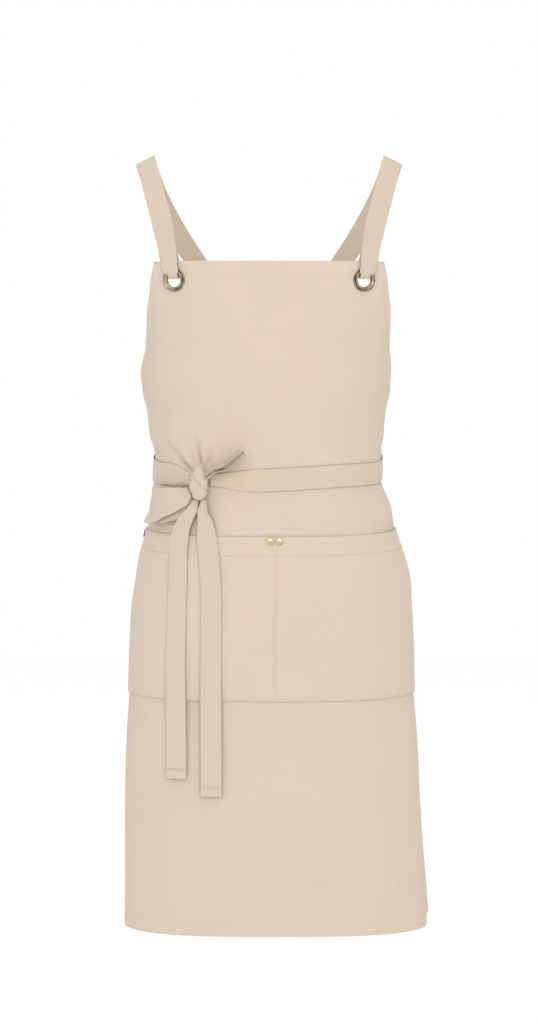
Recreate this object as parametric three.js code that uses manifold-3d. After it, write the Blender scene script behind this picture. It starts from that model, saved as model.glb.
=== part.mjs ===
// Cross back apron, as worn: a one-piece twill panel with a bib and a wrapped skirt, a full-width
// double pocket, straps that turn through two eyelets, and waist ties in a bow.
// Millimetres, +Z up, the front faces -Y. The origin is midway between the two shoulders.

import * as THREE from 'three';
import { mergeVertices } from 'three/addons/utils/BufferGeometryUtils.js';
import Module from 'manifold-3d';

const wasm = await Module();
wasm.setup();

// Panel: heights first, then widths measured round the cloth
const strapRise = 137;
const bibHeight = 275;
const skirtLength = 626;
const bibWidth = 314;
const waistSpan = 700;
const skirtWidth = 750;
const bibCornerRadius = 7;
const panelWall = 1.5;

// Hollow that the cloth goes round, at the hem
const hemWidth = 414;
const hemReach = 132;
const hemShift = 9.7;
const backShare = 0.9;
const foldHeight = 5;

// Front pocket
const pocketDrop = 90;
const pocketHeight = 219.5;
const pocketSideRise = 4;
const pocketWall = 1.4;
const pocketSlack = 1.6;
const divisionShift = 4.6;

// Shoulder straps and their eyelets
const strapWidth = 28;
const strapWall = 1.5;
const strapThroatWidth = 15.5;
const strapFoldback = 17;
const shoulderSpan = 335;
const shoulderSlope = 27;
const eyeletSpacing = 255;
const eyeletDrop = 25;
const eyeletBore = 20;
const eyeletFlange = 32;
const eyeletMetal = 0.9;
const eyeletRim = 1.7;

// Waist ties, knot and bow
const tieWidth = 30;
const tieWall = 1.2;
const tieThroatWidth = 16;
const tieThroatWall = 2;
const knotSeat = 3;
const tieRootInset = 16;
const bandDrop = 9;
const bandBackStep = 17;
const knotOffset = 87.5;
const knotWidth = 26;
const knotHeight = 46;
const knotDepth = 18;
const bowReachLeft = 88;
const bowDropLeft = 47;
const bowReachRight = 60;
const tailHangLeft = 39.8;
const tailHangRight = 6.6;
const tailLengthLeft = 395;
const tailLengthRight = 418;

// Rivets and the woven side tab
const rivetCap = 10.5;
const rivetRise = 2.4;
const rivetPost = 3;
const rivetPitch = 12;
const rivetDrop = 6;
const tabLength = 11;
const tabHeight = 10;
const tabWall = 1;
const tabDrop = 3;

// Clear space between pieces that touch
const gap = 0.35;

const bibTop = -strapRise;
const waist = bibTop - bibHeight;
const hem = waist - skirtLength;
const bandHeight = waist - bandDrop;

const canvas = { color: 0xe1d0bd, roughness: 0.9, metalness: 0 };
const webbing = { color: 0xd9c7b2, roughness: 0.9, metalness: 0 };
const antiqueBrass = { color: 0x7d6a4c, roughness: 0.42, metalness: 0.9 };
const polishedBrass = { color: 0xb98d55, roughness: 0.3, metalness: 0.95 };
const darkWeave = { color: 0x3d2c22, roughness: 0.85, metalness: 0 };

// Sections of the hollow. level is a share of bibHeight above the waist, or of skirtLength below it;
// width, reach and shift are shares of hemWidth, hemReach and hemShift, measured outside the
// panel; square rounds the corners.
const sections = [
  { level: 1.0, width: 0.908, reach: 0.848, shift: 0, square: 2.6 },
  { level: 0.807, width: 0.889, reach: 0.886, shift: 0, square: 2.6 },
  { level: 0.575, width: 0.812, reach: 0.902, shift: -0.2, square: 2.6 },
  { level: 0.42, width: 0.818, reach: 0.902, shift: -0.45, square: 2.6 },
  { level: 0.273, width: 0.77, reach: 0.894, shift: -0.38, square: 2.5 },
  { level: 0.156, width: 0.755, reach: 0.883, shift: -0.38, square: 2.45 },
  { level: 0.025, width: 0.744, reach: 0.868, shift: -0.1, square: 2.4 },
  { level: -0.04, width: 0.75, reach: 0.864, shift: -0.2, square: 2.4 },
  { level: -0.09, width: 0.792, reach: 0.897, shift: 0.18, square: 2.45 },
  { level: -0.14, width: 0.813, reach: 0.92, shift: 0.28, square: 2.5 },
  { level: -0.193, width: 0.856, reach: 0.937, shift: 0.41, square: 2.55 },
  { level: -0.246, width: 0.885, reach: 0.947, shift: 0.57, square: 2.6 },
  { level: -0.3, width: 0.904, reach: 0.951, shift: 0.41, square: 2.65 },
  { level: -0.404, width: 0.923, reach: 0.955, shift: 0.41, square: 2.75 },
  { level: -0.511, width: 0.937, reach: 0.962, shift: 0.38, square: 2.85 },
  { level: -0.591, width: 0.957, reach: 0.97, shift: 0.44, square: 2.9 },
  { level: -0.696, width: 0.971, reach: 0.977, shift: 0.46, square: 3.0 },
  { level: -0.831, width: 0.983, reach: 0.989, shift: 0.69, square: 3.1 },
  { level: -1.0, width: 1.0, reach: 1.0, shift: 1.0, square: 3.2 },
];

// Half outline of the cut cloth from the bib top down to the waist corner. down is a share of
// bibHeight, out goes from the bib's half width (0) to the waist corner (1).
const armhole = [
  { down: 0, out: 0 },
  { down: 0.19, out: 0.067 },
  { down: 0.42, out: 0.197 },
  { down: 0.57, out: 0.472 },
  { down: 0.74, out: 0.741 },
  { down: 0.88, out: 0.917 },
  { down: 1, out: 1 },
];

// Soft folds. at and spread are shares of half the skirt width, low and high are levels like those
// of the sections, rise is a share of foldHeight.
const folds = [
  { at: -0.475, spread: 0.035, low: 0.05, high: 0.3, rise: 0.75 },
  { at: -0.355, spread: 0.03, low: 0.05, high: 0.26, rise: 0.6 },
  { at: -0.62, spread: 0.06, low: 0.06, high: 0.4, rise: 0.7 },
  { at: 0.6, spread: 0.07, low: 0.06, high: 0.42, rise: 0.7 },
  { at: 0.02, spread: 0.05, low: 0.04, high: 0.14, rise: 0.3 },
  { at: -0.19, spread: 0.03, low: -0.2, high: -0.07, rise: 0.5 },
  { at: 0.58, spread: 0.06, low: -1.0, high: -0.16, rise: 0.5 },
  { at: 0.88, spread: 0.06, low: -1.0, high: -0.2, rise: 1.3 },
  { at: -0.6, spread: 0.06, low: -1.0, high: -0.16, rise: 0.5 },
  { at: -0.9, spread: 0.06, low: -1.0, high: -0.2, rise: 1.3 },
];

const levelOf = (z) => (z > waist ? (z - waist) / bibHeight : (z - waist) / skirtLength);
const smooth = (t) => {
  const s = Math.min(1, Math.max(0, t));
  return s * s * (3 - 2 * s);
};

// Smooth value of a table's column between rows; key must rise or fall steadily.
function along(rows, key, column, value) {
  const rising = rows[rows.length - 1][key] > rows[0][key];
  let i = 0;
  while (i < rows.length - 2 && (rising ? value > rows[i + 1][key] : value < rows[i + 1][key])) {
    i += 1;
  }
  const a = rows[i];
  const b = rows[i + 1];
  const before = rows[Math.max(0, i - 1)];
  const after = rows[Math.min(rows.length - 1, i + 2)];
  const span = b[key] - a[key];
  const t = Math.min(1, Math.max(0, (value - a[key]) / span));
  const slopeA = (b[column] - before[column]) / (b[key] - before[key]) * span;
  const slopeB = (after[column] - a[column]) / (after[key] - a[key]) * span;
  const t2 = t * t;
  const t3 = t2 * t;
  return (2 * t3 - 3 * t2 + 1) * a[column] + (t3 - 2 * t2 + t) * slopeA
    + (3 * t2 - 2 * t3) * b[column] + (t3 - t2) * slopeB;
}

// One level of the hollow as a fine closed outline with its running length from the centre front,
// towards +X first.
const outlineSteps = 288;
const outlines = new Map();

function outlineAt(z) {
  const name = z.toFixed(2);
  if (outlines.has(name)) {
    return outlines.get(name);
  }
  const level = Math.min(1, Math.max(-1, levelOf(z)));
  const half = along(sections, 'level', 'width', level) * hemWidth / 2 - panelWall;
  const reach = along(sections, 'level', 'reach', level) * hemReach - panelWall;
  const shift = along(sections, 'level', 'shift', level) * hemShift;
  const power = along(sections, 'level', 'square', level);
  const points = [];
  for (let i = 0; i <= outlineSteps; i += 1) {
    const turn = -Math.PI / 2 + (i / outlineSteps) * 2 * Math.PI;
    const c = Math.cos(turn);
    const s = Math.sin(turn);
    const depth = s < 0 ? reach : reach * backShare;
    const x = half * Math.sign(c) * Math.abs(c) ** (2 / power);
    const y = depth * Math.sign(s) * Math.abs(s) ** (2 / power);
    const nx = Math.sign(x) * Math.abs(x / half) ** (power - 1) / half;
    const ny = Math.sign(y) * Math.abs(y / depth) ** (power - 1) / depth;
    points.push({ x, y, nx, ny, run: 0 });
    if (i > 0) {
      const last = points[i - 1];
      points[i].run = last.run + Math.hypot(x - last.x, y - last.y);
    }
  }
  const outline = { points, shift, round: points[outlineSteps].run };
  outlines.set(name, outline);
  return outline;
}

// Point on the hollow at height z, run millimetres round from the centre front, out from it.
function onForm(z, run, out) {
  const { points, shift, round } = outlineAt(z);
  const wanted = ((run % round) + round) % round;
  let low = 0;
  let high = outlineSteps;
  while (high - low > 1) {
    const middle = (low + high) >> 1;
    if (points[middle].run <= wanted) {
      low = middle;
    } else {
      high = middle;
    }
  }
  const a = points[low];
  const b = points[high];
  const t = (wanted - a.run) / Math.max(b.run - a.run, 1e-9);
  const nx = a.nx + (b.nx - a.nx) * t;
  const ny = a.ny + (b.ny - a.ny) * t;
  const size = Math.hypot(nx, ny);
  return {
    at: new THREE.Vector3(
      a.x + (b.x - a.x) * t + shift + out * nx / size,
      a.y + (b.y - a.y) * t + out * ny / size,
      z,
    ),
    face: new THREE.Vector3(nx / size, ny / size, 0),
  };
}

// Flat patch of cloth round an eyelet, where the metal holds it: how far the hollow falls back
// behind the eyelet's own plane.
function flatness(z, run) {
  const side = Math.sign(run) || 1;
  const middle = onForm(eyeletHeight, side * eyeletSpacing / 2, 0);
  const here = onForm(z, run, 0);
  const away = here.at.distanceTo(middle.at) / eyeletFlange;
  const held = 1 - smooth((away - 0.65) / 0.75);
  return held * middle.face.dot(middle.at.clone().sub(here.at));
}

// How far the panel's inner face stands off the hollow: soft folds, none under the waist ties,
// and flat round the eyelets.
function lift(z, run) {
  const level = levelOf(z);
  const share = run / (skirtWidth / 2);
  let total = 0;
  for (const fold of folds) {
    const across = Math.exp(-(((share - fold.at) / fold.spread) ** 2));
    const top = smooth((fold.high - level) / 0.08);
    const bottom = fold.low <= -1 ? 1 : smooth((level - fold.low) / 0.06);
    total += foldHeight * fold.rise * across * top * bottom;
  }
  const atBack = smooth((Math.abs(share) - 0.6) / 0.2);
  const still = tieWidth * 0.6 + bandBackStep * 1.2 * atBack;
  const free = smooth((Math.abs(z - bandHeight) - still) / tieWidth);
  return total * free + (z > eyeletHeight - 2 * eyeletFlange ? flatness(z, run) : 0);
}

const onCloth = (z, run, out) => onForm(z, run, lift(z, run) + out);

// Half width of the cut cloth at height z, round the cloth.
function halfCut(z) {
  const corner = waistSpan / 2;
  if (z >= waist) {
    const down = (bibTop - z) / bibHeight;
    return bibWidth / 2 + (corner - bibWidth / 2) * along(armhole, 'down', 'out', down);
  }
  return corner + (skirtWidth / 2 - corner) * smooth((waist - z) / (skirtLength * 0.6));
}

// Closed solid from an indexed list, turned so that its faces point out.
function solid(points, triangles) {
  let volume = 0;
  for (const [a, b, c] of triangles) {
    volume += points[a].dot(new THREE.Vector3().crossVectors(points[b], points[c]));
  }
  const index = [];
  for (const [a, b, c] of triangles) {
    index.push(a, volume > 0 ? b : c, volume > 0 ? c : b);
  }
  const geometry = new THREE.BufferGeometry();
  const flat = points.flatMap((p) => [p.x, p.y, p.z]);
  geometry.setAttribute('position', new THREE.Float32BufferAttribute(flat, 3));
  geometry.setIndex(index);
  return geometry;
}

// Wall of cloth: place(u, v, face) gives a point for u and v from 0 to 1 on face 0 or 1.
function clothWall(across, down, place) {
  const points = [];
  for (const face of [0, 1]) {
    for (let j = 0; j <= down; j += 1) {
      for (let i = 0; i <= across; i += 1) {
        points.push(place(i / across, j / down, face));
      }
    }
  }
  const id = (i, j, face) => face * (across + 1) * (down + 1) + j * (across + 1) + i;
  const triangles = [];
  const quad = (a, b, c, d) => triangles.push([a, b, c], [a, c, d]);
  for (let j = 0; j < down; j += 1) {
    for (let i = 0; i < across; i += 1) {
      quad(id(i, j, 0), id(i + 1, j, 0), id(i + 1, j + 1, 0), id(i, j + 1, 0));
      quad(id(i, j, 1), id(i, j + 1, 1), id(i + 1, j + 1, 1), id(i + 1, j, 1));
    }
  }
  for (let i = 0; i < across; i += 1) {
    quad(id(i, 0, 0), id(i, 0, 1), id(i + 1, 0, 1), id(i + 1, 0, 0));
    quad(id(i, down, 0), id(i + 1, down, 0), id(i + 1, down, 1), id(i, down, 1));
  }
  for (let j = 0; j < down; j += 1) {
    quad(id(0, j, 0), id(0, j + 1, 0), id(0, j + 1, 1), id(0, j, 1));
    quad(id(across, j, 0), id(across, j, 1), id(across, j + 1, 1), id(across, j + 1, 0));
  }
  return solid(points, triangles);
}

// Flat ribbon along rows of { at, face, width, wall }: a rectangle carried along a smooth line,
// with its broad side turned to face.
function ribbon(rows, steps) {
  const line = new THREE.CatmullRomCurve3(rows.map((row) => row.at));
  const faces = new THREE.CatmullRomCurve3(rows.map((row) => row.face));
  const last = rows.length - 1;
  const between = (t, key) => {
    const i = Math.min(last - 1, Math.floor(t * last));
    return rows[i][key] + (rows[i + 1][key] - rows[i][key]) * smooth(t * last - i);
  };
  const points = [];
  const triangles = [];
  for (let i = 0; i <= steps; i += 1) {
    const t = i / steps;
    const centre = line.getPoint(t);
    const ahead = line.getTangent(t);
    const face = faces.getPoint(t);
    face.addScaledVector(ahead, -face.dot(ahead)).normalize();
    const side = new THREE.Vector3().crossVectors(ahead, face);
    const width = between(t, 'width') / 2;
    const wall = between(t, 'wall') / 2;
    for (const [w, h] of [[-1, -1], [1, -1], [1, 1], [-1, 1]]) {
      points.push(centre.clone().addScaledVector(side, w * width).addScaledVector(face, h * wall));
    }
  }
  for (let i = 0; i < steps; i += 1) {
    for (let k = 0; k < 4; k += 1) {
      const a = i * 4 + k;
      const b = i * 4 + ((k + 1) % 4);
      triangles.push([a, b, b + 4], [a, b + 4, a + 4]);
    }
  }
  const end = steps * 4;
  triangles.push([0, 2, 1], [0, 3, 2], [end, end + 1, end + 2], [end, end + 2, end + 3]);
  return solid(points, triangles);
}

// Joining and cutting of closed meshes
function toManifold(geometry) {
  const bare = geometry.clone();
  bare.deleteAttribute('normal');
  bare.deleteAttribute('uv');
  const merged = mergeVertices(bare, 1e-4);
  return new wasm.Manifold(new wasm.Mesh({
    numProp: 3,
    vertProperties: new Float32Array(merged.attributes.position.array),
    triVerts: new Uint32Array(merged.index.array),
  }));
}

function fromManifold(body) {
  const mesh = body.getMesh();
  const geometry = new THREE.BufferGeometry();
  geometry.setAttribute('position', new THREE.BufferAttribute(new Float32Array(mesh.vertProperties), 3));
  geometry.setIndex(new THREE.BufferAttribute(new Uint32Array(mesh.triVerts), 1));
  return geometry;
}

// Cuts round holes of the given radius through cloth, square to it, at each place.
function withHoles(geometry, places) {
  let body = toManifold(geometry);
  for (const { at, face, radius } of places) {
    const drill = new THREE.CylinderGeometry(radius, radius, 12 * panelWall, 24);
    drill.applyQuaternion(new THREE.Quaternion().setFromUnitVectors(new THREE.Vector3(0, 1, 0), face));
    drill.translate(at.x, at.y, at.z);
    body = body.subtract(toManifold(drill));
  }
  return fromManifold(body);
}

// Ring or disc turned about its own Y axis, from a closed list of [radius, height].
function turned(profile, sides) {
  const rim = profile.map(([r, h]) => new THREE.Vector2(r, h));
  const lathe = new THREE.LatheGeometry(rim, sides);
  return fromManifold(toManifold(lathe));
}

const apron = new THREE.Group();

function add(name, geometry, look) {
  const mesh = new THREE.Mesh(geometry, new THREE.MeshStandardMaterial(look));
  mesh.name = name;
  apron.add(mesh);
  return mesh;
}

// Stands a turned piece on the cloth with its axis along the cloth's outward direction.
function seat(mesh, place) {
  mesh.position.copy(place.at);
  mesh.quaternion.setFromUnitVectors(new THREE.Vector3(0, 1, 0), place.face);
}

// Places that several pieces share
const eyeletHeight = bibTop - eyeletDrop;
const pocketTop = waist - pocketDrop;
const pocketOut = panelWall + 1.5 * gap;
const pocketFront = pocketOut + pocketSlack + pocketWall;
const rivetHeight = pocketTop - rivetDrop;
const eyeletPlace = (side, out) => onCloth(eyeletHeight, side * eyeletSpacing / 2, out);
const rivetRun = (side) => divisionShift + side * rivetPitch / 2;
const rivetPlace = (side) => onCloth(rivetHeight, rivetRun(side), pocketOut + pocketWall);

// Heights of the panel's rows of points, closer together about the waist band
function panelRows() {
  const bandTop = bandHeight + tieWidth / 2 + bandBackStep;
  const bandFoot = bandHeight - tieWidth / 2 - bandBackStep;
  const stretches = [[bibTop, bandTop, 9], [bandTop, bandFoot, 6], [bandFoot, pocketTop, 2], [pocketTop, hem, 12]];
  const rows = [bibTop];
  for (const [from, to, count] of stretches) {
    for (let i = 1; i <= count; i += 1) {
      rows.push(from + (to - from) * i / count);
    }
  }
  return rows;
}

// Columns of points are closer together where the cloth turns round the sides
const columnCrowding = 0.35;

// Apron panel: bib and skirt in one piece of cloth
function panel() {
  const rows = panelRows();
  const columns = 38;
  const wall = clothWall(columns, rows.length - 1, (u, v, face) => {
    const plain = rows[Math.round(v * (rows.length - 1))];
    const half = halfCut(plain);
    const w = 2 * u - 1;
    const run = (w + columnCrowding * Math.sin(2 * Math.PI * w) / (2 * Math.PI)) * half;
    const fromCorner = Math.max(0, bibCornerRadius * 2 - (half - Math.abs(run)));
    const rounding = fromCorner * fromCorner / (bibCornerRadius * 4);
    const z = v === 0 ? plain - rounding : plain;
    return onCloth(z, run, face * panelWall).at;
  });
  const barrel = eyeletBore / 2 + eyeletMetal + gap;
  return withHoles(wall, [
    { ...eyeletPlace(-1, panelWall / 2), radius: barrel },
    { ...eyeletPlace(1, panelWall / 2), radius: barrel },
    { ...rivetPlace(-1), radius: rivetPost / 2 + gap },
    { ...rivetPlace(1), radius: rivetPost / 2 + gap },
  ]);
}

// Pocket: one wide piece from side to side, sewn at its sides, foot and centre
const pocketHalf = (z) => outlineAt(z).round * 0.25 - 4;

function pocket() {
  const wall = clothWall(40, 7, (u, v, face) => {
    const w = 2 * u - 1;
    const across = w * (1.2 - 0.2 * w * w);
    const level = pocketTop + pocketSideRise * across ** 4;
    const z = level - v * pocketHeight;
    const run = across * pocketHalf(z);
    const fromDivision = Math.abs(run - divisionShift) - rivetPitch;
    const fromSide = pocketHalf(z) - Math.abs(run);
    const sewn = Math.min(fromDivision, fromSide) / pocketHeight;
    const mouth = 0.4 + 0.6 * smooth(v * 5);
    const slack = pocketSlack * smooth(sewn * 4) * smooth((1 - v) * 3) * mouth;
    return onCloth(z, run, pocketOut + slack + face * pocketWall).at;
  });
  return withHoles(wall, [
    { ...rivetPlace(-1), radius: rivetPost / 2 + gap },
    { ...rivetPlace(1), radius: rivetPost / 2 + gap },
  ]);
}

// Eyelet: two flanges, a barrel through the cloth and a rolled inner rim, in one piece of metal
function eyelet() {
  const bore = eyeletBore / 2;
  const barrel = bore + eyeletMetal;
  const flange = eyeletFlange / 2;
  const seatFront = panelWall / 2 + 2 * gap;
  return turned([
    [bore, -seatFront - eyeletMetal],
    [flange * 0.94, -seatFront - eyeletMetal],
    [flange * 0.94, -seatFront],
    [barrel, -seatFront],
    [barrel, seatFront],
    [flange, seatFront],
    [flange - eyeletMetal, seatFront + eyeletMetal],
    [barrel + eyeletRim, seatFront + eyeletMetal * 1.2],
    [barrel + eyeletRim * 0.5, seatFront + eyeletMetal + eyeletRim],
    [bore, seatFront + eyeletMetal + eyeletRim * 0.6],
    [bore, -seatFront - eyeletMetal],
  ], 20);
}

// Rivet: domed cap, post through pocket and panel, flat washer inside
function rivet() {
  const cap = rivetCap / 2;
  const post = rivetPost / 2;
  const inner = -(pocketWall + pocketOut + 2 * gap);
  return turned([
    [0, inner - 1],
    [cap * 0.85, inner - 1],
    [cap * 0.85, inner],
    [post, inner],
    [post, gap],
    [cap, gap],
    [cap, gap + rivetRise * 0.35],
    [cap * 0.8, gap + rivetRise * 0.8],
    [cap * 0.4, gap + rivetRise],
    [0, gap + rivetRise],
  ], 14);
}

add('apron_panel', panel(), canvas);
add('front_pocket', pocket(), canvas);
for (const [name, side] of [['left', -1], ['right', 1]]) {
  seat(add(`eyelet_${name}`, eyelet(), antiqueBrass), eyeletPlace(side, panelWall / 2));
  seat(add(`pocket_rivet_${name}`, rivet(), polishedBrass), rivetPlace(side));
}

// Side tab: a short folded strip at the pocket's top corner
add('pocket_side_tab', clothWall(3, 2, (u, v, face) => {
  const z = pocketTop + pocketSideRise - tabDrop - v * tabHeight;
  const run = -pocketHalf(z) + 1 + u * tabLength;
  return onCloth(z, run, pocketOut + pocketWall + 2 * gap + face * tabWall).at;
}), darkWeave);

// Shoulder strap: its end lies behind the bib, turns forward through the eyelet, goes up over the
// shoulder and down the back, crosses the other strap and ends inside the far waist corner.
// front rows: out from the bib (0) to the shoulder (1), forward and up as shares of the bib's reach
// and of strapRise. back rows: out from the crossing (0) to the shoulder (1), behind and down as
// shares of the back's reach and of the waist's depth below the shoulder.
const strapFront = [
  { out: 0.2, forward: 0.7, down: 0.66 },
  { out: 0.5, forward: 0.46, down: 0.4 },
  { out: 0.79, forward: 0.2, down: 0.16 },
  { out: 1, forward: -0.06, down: 0.012 },
];
const strapBack = [
  { out: 0.985, behind: 0.36, down: 0.035 },
  { out: 0.91, behind: 0.62, down: 0.12 },
  { out: 0.74, behind: 0.8, down: 0.25 },
  { out: 0.5, behind: 0.91, down: 0.4 },
  { out: 0.24, behind: 0.97, down: 0.56 },
];
const crossShare = 0.7;
const strapStep = strapWall + 2 * gap;

function shoulderStrap(side) {
  const lean = shoulderSlope * Math.PI / 180;
  const run = side * eyeletSpacing / 2;
  const holeTop = eyeletHeight + eyeletBore / 2;
  const clear = gap + strapWall / 2;
  const front = panelWall + 2 * gap + eyeletMetal + eyeletRim + clear;
  const behind = -(2 * gap + eyeletMetal + clear);
  const turn = holeTop - eyeletBore * 0.4;
  const rows = [];
  const put = (place, width, wall = strapWall) => rows.push({ ...place, width, wall });
  const facing = (place, x, y, z) => ({ at: place.at, face: new THREE.Vector3(side * x, y, z).normalize() });
  const inward = (place) => ({ at: place.at, face: place.face.clone().negate() });

  const foldTop = bibTop + strapFoldback;
  const flangeTop = eyeletHeight + eyeletFlange / 2;
  const outerRun = run + side * 0.35 * strapWidth;
  const edgeRun = run + side * 0.22 * strapWidth;
  const flangeRun = run + side * 0.1 * strapWidth;
  const between = panelWall / 2 - gap;
  put(inward(onCloth(foldTop, outerRun, between - strapStep / 2)), strapWidth);
  put(inward(onCloth(bibTop + strapWall, edgeRun, -clear - gap)), strapWidth * 0.92);
  put(inward(onCloth(flangeTop, flangeRun, behind)), strapWidth * 0.75);
  put(inward(onCloth(holeTop + strapWall, run, behind)), strapThroatWidth * 0.95);
  put(inward(onCloth(holeTop - 2 * strapWall, run, behind)), strapThroatWidth * 0.9);
  const under = onCloth(turn, run, (front + behind) / 2);
  put({ at: under.at, face: new THREE.Vector3(0, 0, -1) }, strapThroatWidth, strapWall * 1.5);
  put(onCloth(holeTop - 2 * strapWall, run, front + gap), strapThroatWidth * 0.9);
  put(onCloth(holeTop + strapWall, run, front + gap), strapThroatWidth * 1.15);
  put(onCloth(flangeTop, flangeRun, front), strapWidth * 0.88);
  put(onCloth(bibTop + strapWall, edgeRun, panelWall + clear + 2 * gap), strapWidth * 0.92);
  const last = onCloth(foldTop, outerRun, between + strapStep / 2);
  put(last, strapWidth);

  const bibX = Math.abs(last.at.x);
  const reach = -last.at.y;
  for (const row of strapFront) {
    const x = bibX + (shoulderSpan / 2 - bibX) * row.out;
    const at = new THREE.Vector3(side * x, -reach * row.forward, -strapRise * row.down);
    const over = 1 - row.down;
    put(facing({ at }, 0.15 + 0.3 * over, -row.forward * 1.4, Math.cos(lean) * over), strapWidth);
  }
  const crossing = waist * crossShare;
  const outline = outlineAt(crossing);
  const middle = onForm(crossing, outline.round / 2, strapWall);
  const outer = side < 0 ? 1.4 * strapStep : 0;
  for (const row of strapBack) {
    const x = shoulderSpan / 2 * row.out;
    const y = middle.at.y * row.behind;
    const at = new THREE.Vector3(side * x, y + outer * (1 - row.out), waist * row.down);
    put(facing({ at }, 0.4 * row.out, row.behind, Math.max(0, 0.8 - 2.4 * row.down)), strapWidth);
  }
  put(onForm(crossing, outline.round / 2, strapWall + outer), strapWidth);
  const inside = -(strapWall / 2 + 3 * gap);
  const cornerRun = waistSpan / 2 - tieRootInset;
  for (const share of [0.45, 0.8, 1]) {
    const z = crossing + (waist - tieRootInset - crossing) * share;
    const half = outlineAt(z).round / 2;
    const back = half + (cornerRun - half) * share ** 1.1;
    put(onForm(z, -side * back, inside + (1 - smooth(share * 1.6)) * strapWall), strapWidth);
  }
  return ribbon(rows, 66);
}

// Waist tie: sewn outside one back corner, it crosses the gap behind, goes round the other side
// and comes to the knot. ahead is the share of a whole turn from the root, down the share of
// bandBackStep that the tie runs below its height at the side.
const tieRoute = [
  { ahead: 0, down: 1.15 },
  { ahead: 0.045, down: 1.05 },
  { ahead: 0.1, down: 0.2 },
  { ahead: 0.16, down: -0.75 },
  { ahead: 0.24, down: -0.85 },
  { ahead: 0.32, down: -0.45 },
  { ahead: 0.4, down: 0 },
  { ahead: 0.5, down: 0.1 },
  { ahead: 0.6, down: 0.35 },
  { ahead: 0.75, down: 0.6 },
];

// Middle of a level strip of the given width, which bridges any hollow between its two edges
function level(z, run, out, width) {
  const upper = onCloth(z + width / 2, run, out).at;
  const lower = onCloth(z - width / 2, run, out).at;
  const middle = onCloth(z, run, out);
  const at = upper.clone().add(lower).multiplyScalar(0.5);
  const proud = middle.face.dot(middle.at.clone().sub(at));
  at.addScaledVector(middle.face, Math.max(0, proud));
  const rise = upper.sub(lower).normalize();
  const face = middle.face.clone().addScaledVector(rise, -middle.face.dot(rise)).normalize();
  return { at, face };
}

const knotRun = -knotOffset;
const knotZ = bandHeight - knotHeight * 0.22;
const knotOut = panelWall + knotSeat + gap + knotDepth / 2;
const knotAt = onForm(knotZ, knotRun, knotOut);

function waistTie(side) {
  const root = side * (waistSpan / 2 - tieRootInset);
  const round = outlineAt(bandHeight).round;
  const goal = side < 0 ? knotRun - round : knotRun + round;
  const stop = goal + (side < 0 ? 1 : -1) * (knotWidth * 0.22 + 2 * gap);
  const rows = [];
  const outer = side < 0 ? 0 : tieWall + 2 * gap;
  const onTop = panelWall + 2.4 * gap + tieWall / 2;
  for (let i = 0; i <= 40; i += 1) {
    const turn = i / 40;
    const run = root + (stop - root) * turn;
    const ahead = Math.abs(run - root) / round;
    const low = along(tieRoute, 'ahead', 'down', ahead) * bandBackStep;
    const near = smooth((turn - 0.9) / 0.1);
    const z = bandHeight - low + (knotZ + knotHeight * 0.08 - bandHeight + low) * near;
    const apart = outer * smooth(ahead / 0.035) * (1 - smooth((ahead - 0.25) / 0.07));
    const rise = knotDepth * 0.09 * smooth((turn - 0.95) / 0.05);
    rows.push({
      ...level(z, run * outlineAt(z).round / round, onTop + apart + rise, tieWidth),
      width: tieWidth + (tieThroatWidth - tieWidth) * near,
      wall: tieWall + (tieThroatWall - tieWall) * near,
    });
  }
  return ribbon(rows, 76);
}

// Knot: a wrapped lump with creases where the cloth turns over itself
const creases = [
  { across: -0.75, slope: 0.35, spread: 0.16, depth: 0.1 },
  { across: 0.2, slope: -0.5, spread: 0.14, depth: 0.09 },
  { across: 0.85, slope: 0.3, spread: 0.16, depth: 0.1 },
];

// Share by which the knot narrows towards its top and widens towards its foot
const knotTaper = 0.22;

function knot() {
  const ball = new THREE.SphereGeometry(1, 16, 10);
  const place = ball.attributes.position;
  for (let i = 0; i < place.count; i += 1) {
    const p = new THREE.Vector3().fromBufferAttribute(place, i);
    let size = 1;
    for (const crease of creases) {
      const away = (p.y - crease.slope * p.x - crease.across * 0.6) / crease.spread;
      size -= crease.depth * Math.exp(-away * away) * (1 - Math.abs(p.y) ** 2);
    }
    p.multiplyScalar(size);
    place.setXYZ(i, p.x * (1 - knotTaper * p.y) * knotWidth / 2, -p.z * knotDepth / 2, p.y * knotHeight / 2);
  }
  const round = toManifold(ball);
  return fromManifold(round);
}

// End of a ribbon at the knot: a point just off its surface, towards the side, the front and up
const knotSide = new THREE.Vector3(0, 0, 1).cross(knotAt.face);

function offKnot(toSide, toFront, up) {
  const way = new THREE.Vector3(toSide, toFront, up).normalize();
  const off = (half) => half + tieWall / 2 + 3.4 * gap;
  const at = knotAt.at.clone()
    .addScaledVector(knotSide, way.x * off(knotWidth / 2 * (1 - knotTaper * way.z)))
    .addScaledVector(knotAt.face, way.y * off(knotDepth / 2));
  at.z += way.z * off(knotHeight / 2);
  return { at, face: knotAt.face.clone(), wall: tieWall };
}

// Left loop: broad and folded down to the left, with its back layer showing below it. away is a
// share of bowReachLeft, down of bowDropLeft, layer counts cloths beyond the pocket's front.
const leftLoop = [
  { away: 0.3, down: 0.42, layer: 4, width: 0.95, back: 0 },
  { away: 0.55, down: 0.56, layer: 5, width: 1.3, back: 0 },
  { away: 0.8, down: 0.67, layer: 5.4, width: 1.6, back: 0 },
  { away: 0.95, down: 0.73, layer: 5, width: 1.75, back: 0 },
  { away: 1, down: 0.75, layer: 4, width: 1.75, back: 0.5 },
  { away: 0.95, down: 0.78, layer: 3, width: 1.7, back: 1 },
  { away: 0.78, down: 0.8, layer: 2.2, width: 1.5, back: 1 },
  { away: 0.5, down: 0.76, layer: 1, width: 1.1, back: 1 },
  { away: 0.3, down: 0.7, layer: 1.2, width: 0.7, back: 1 },
];

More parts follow.
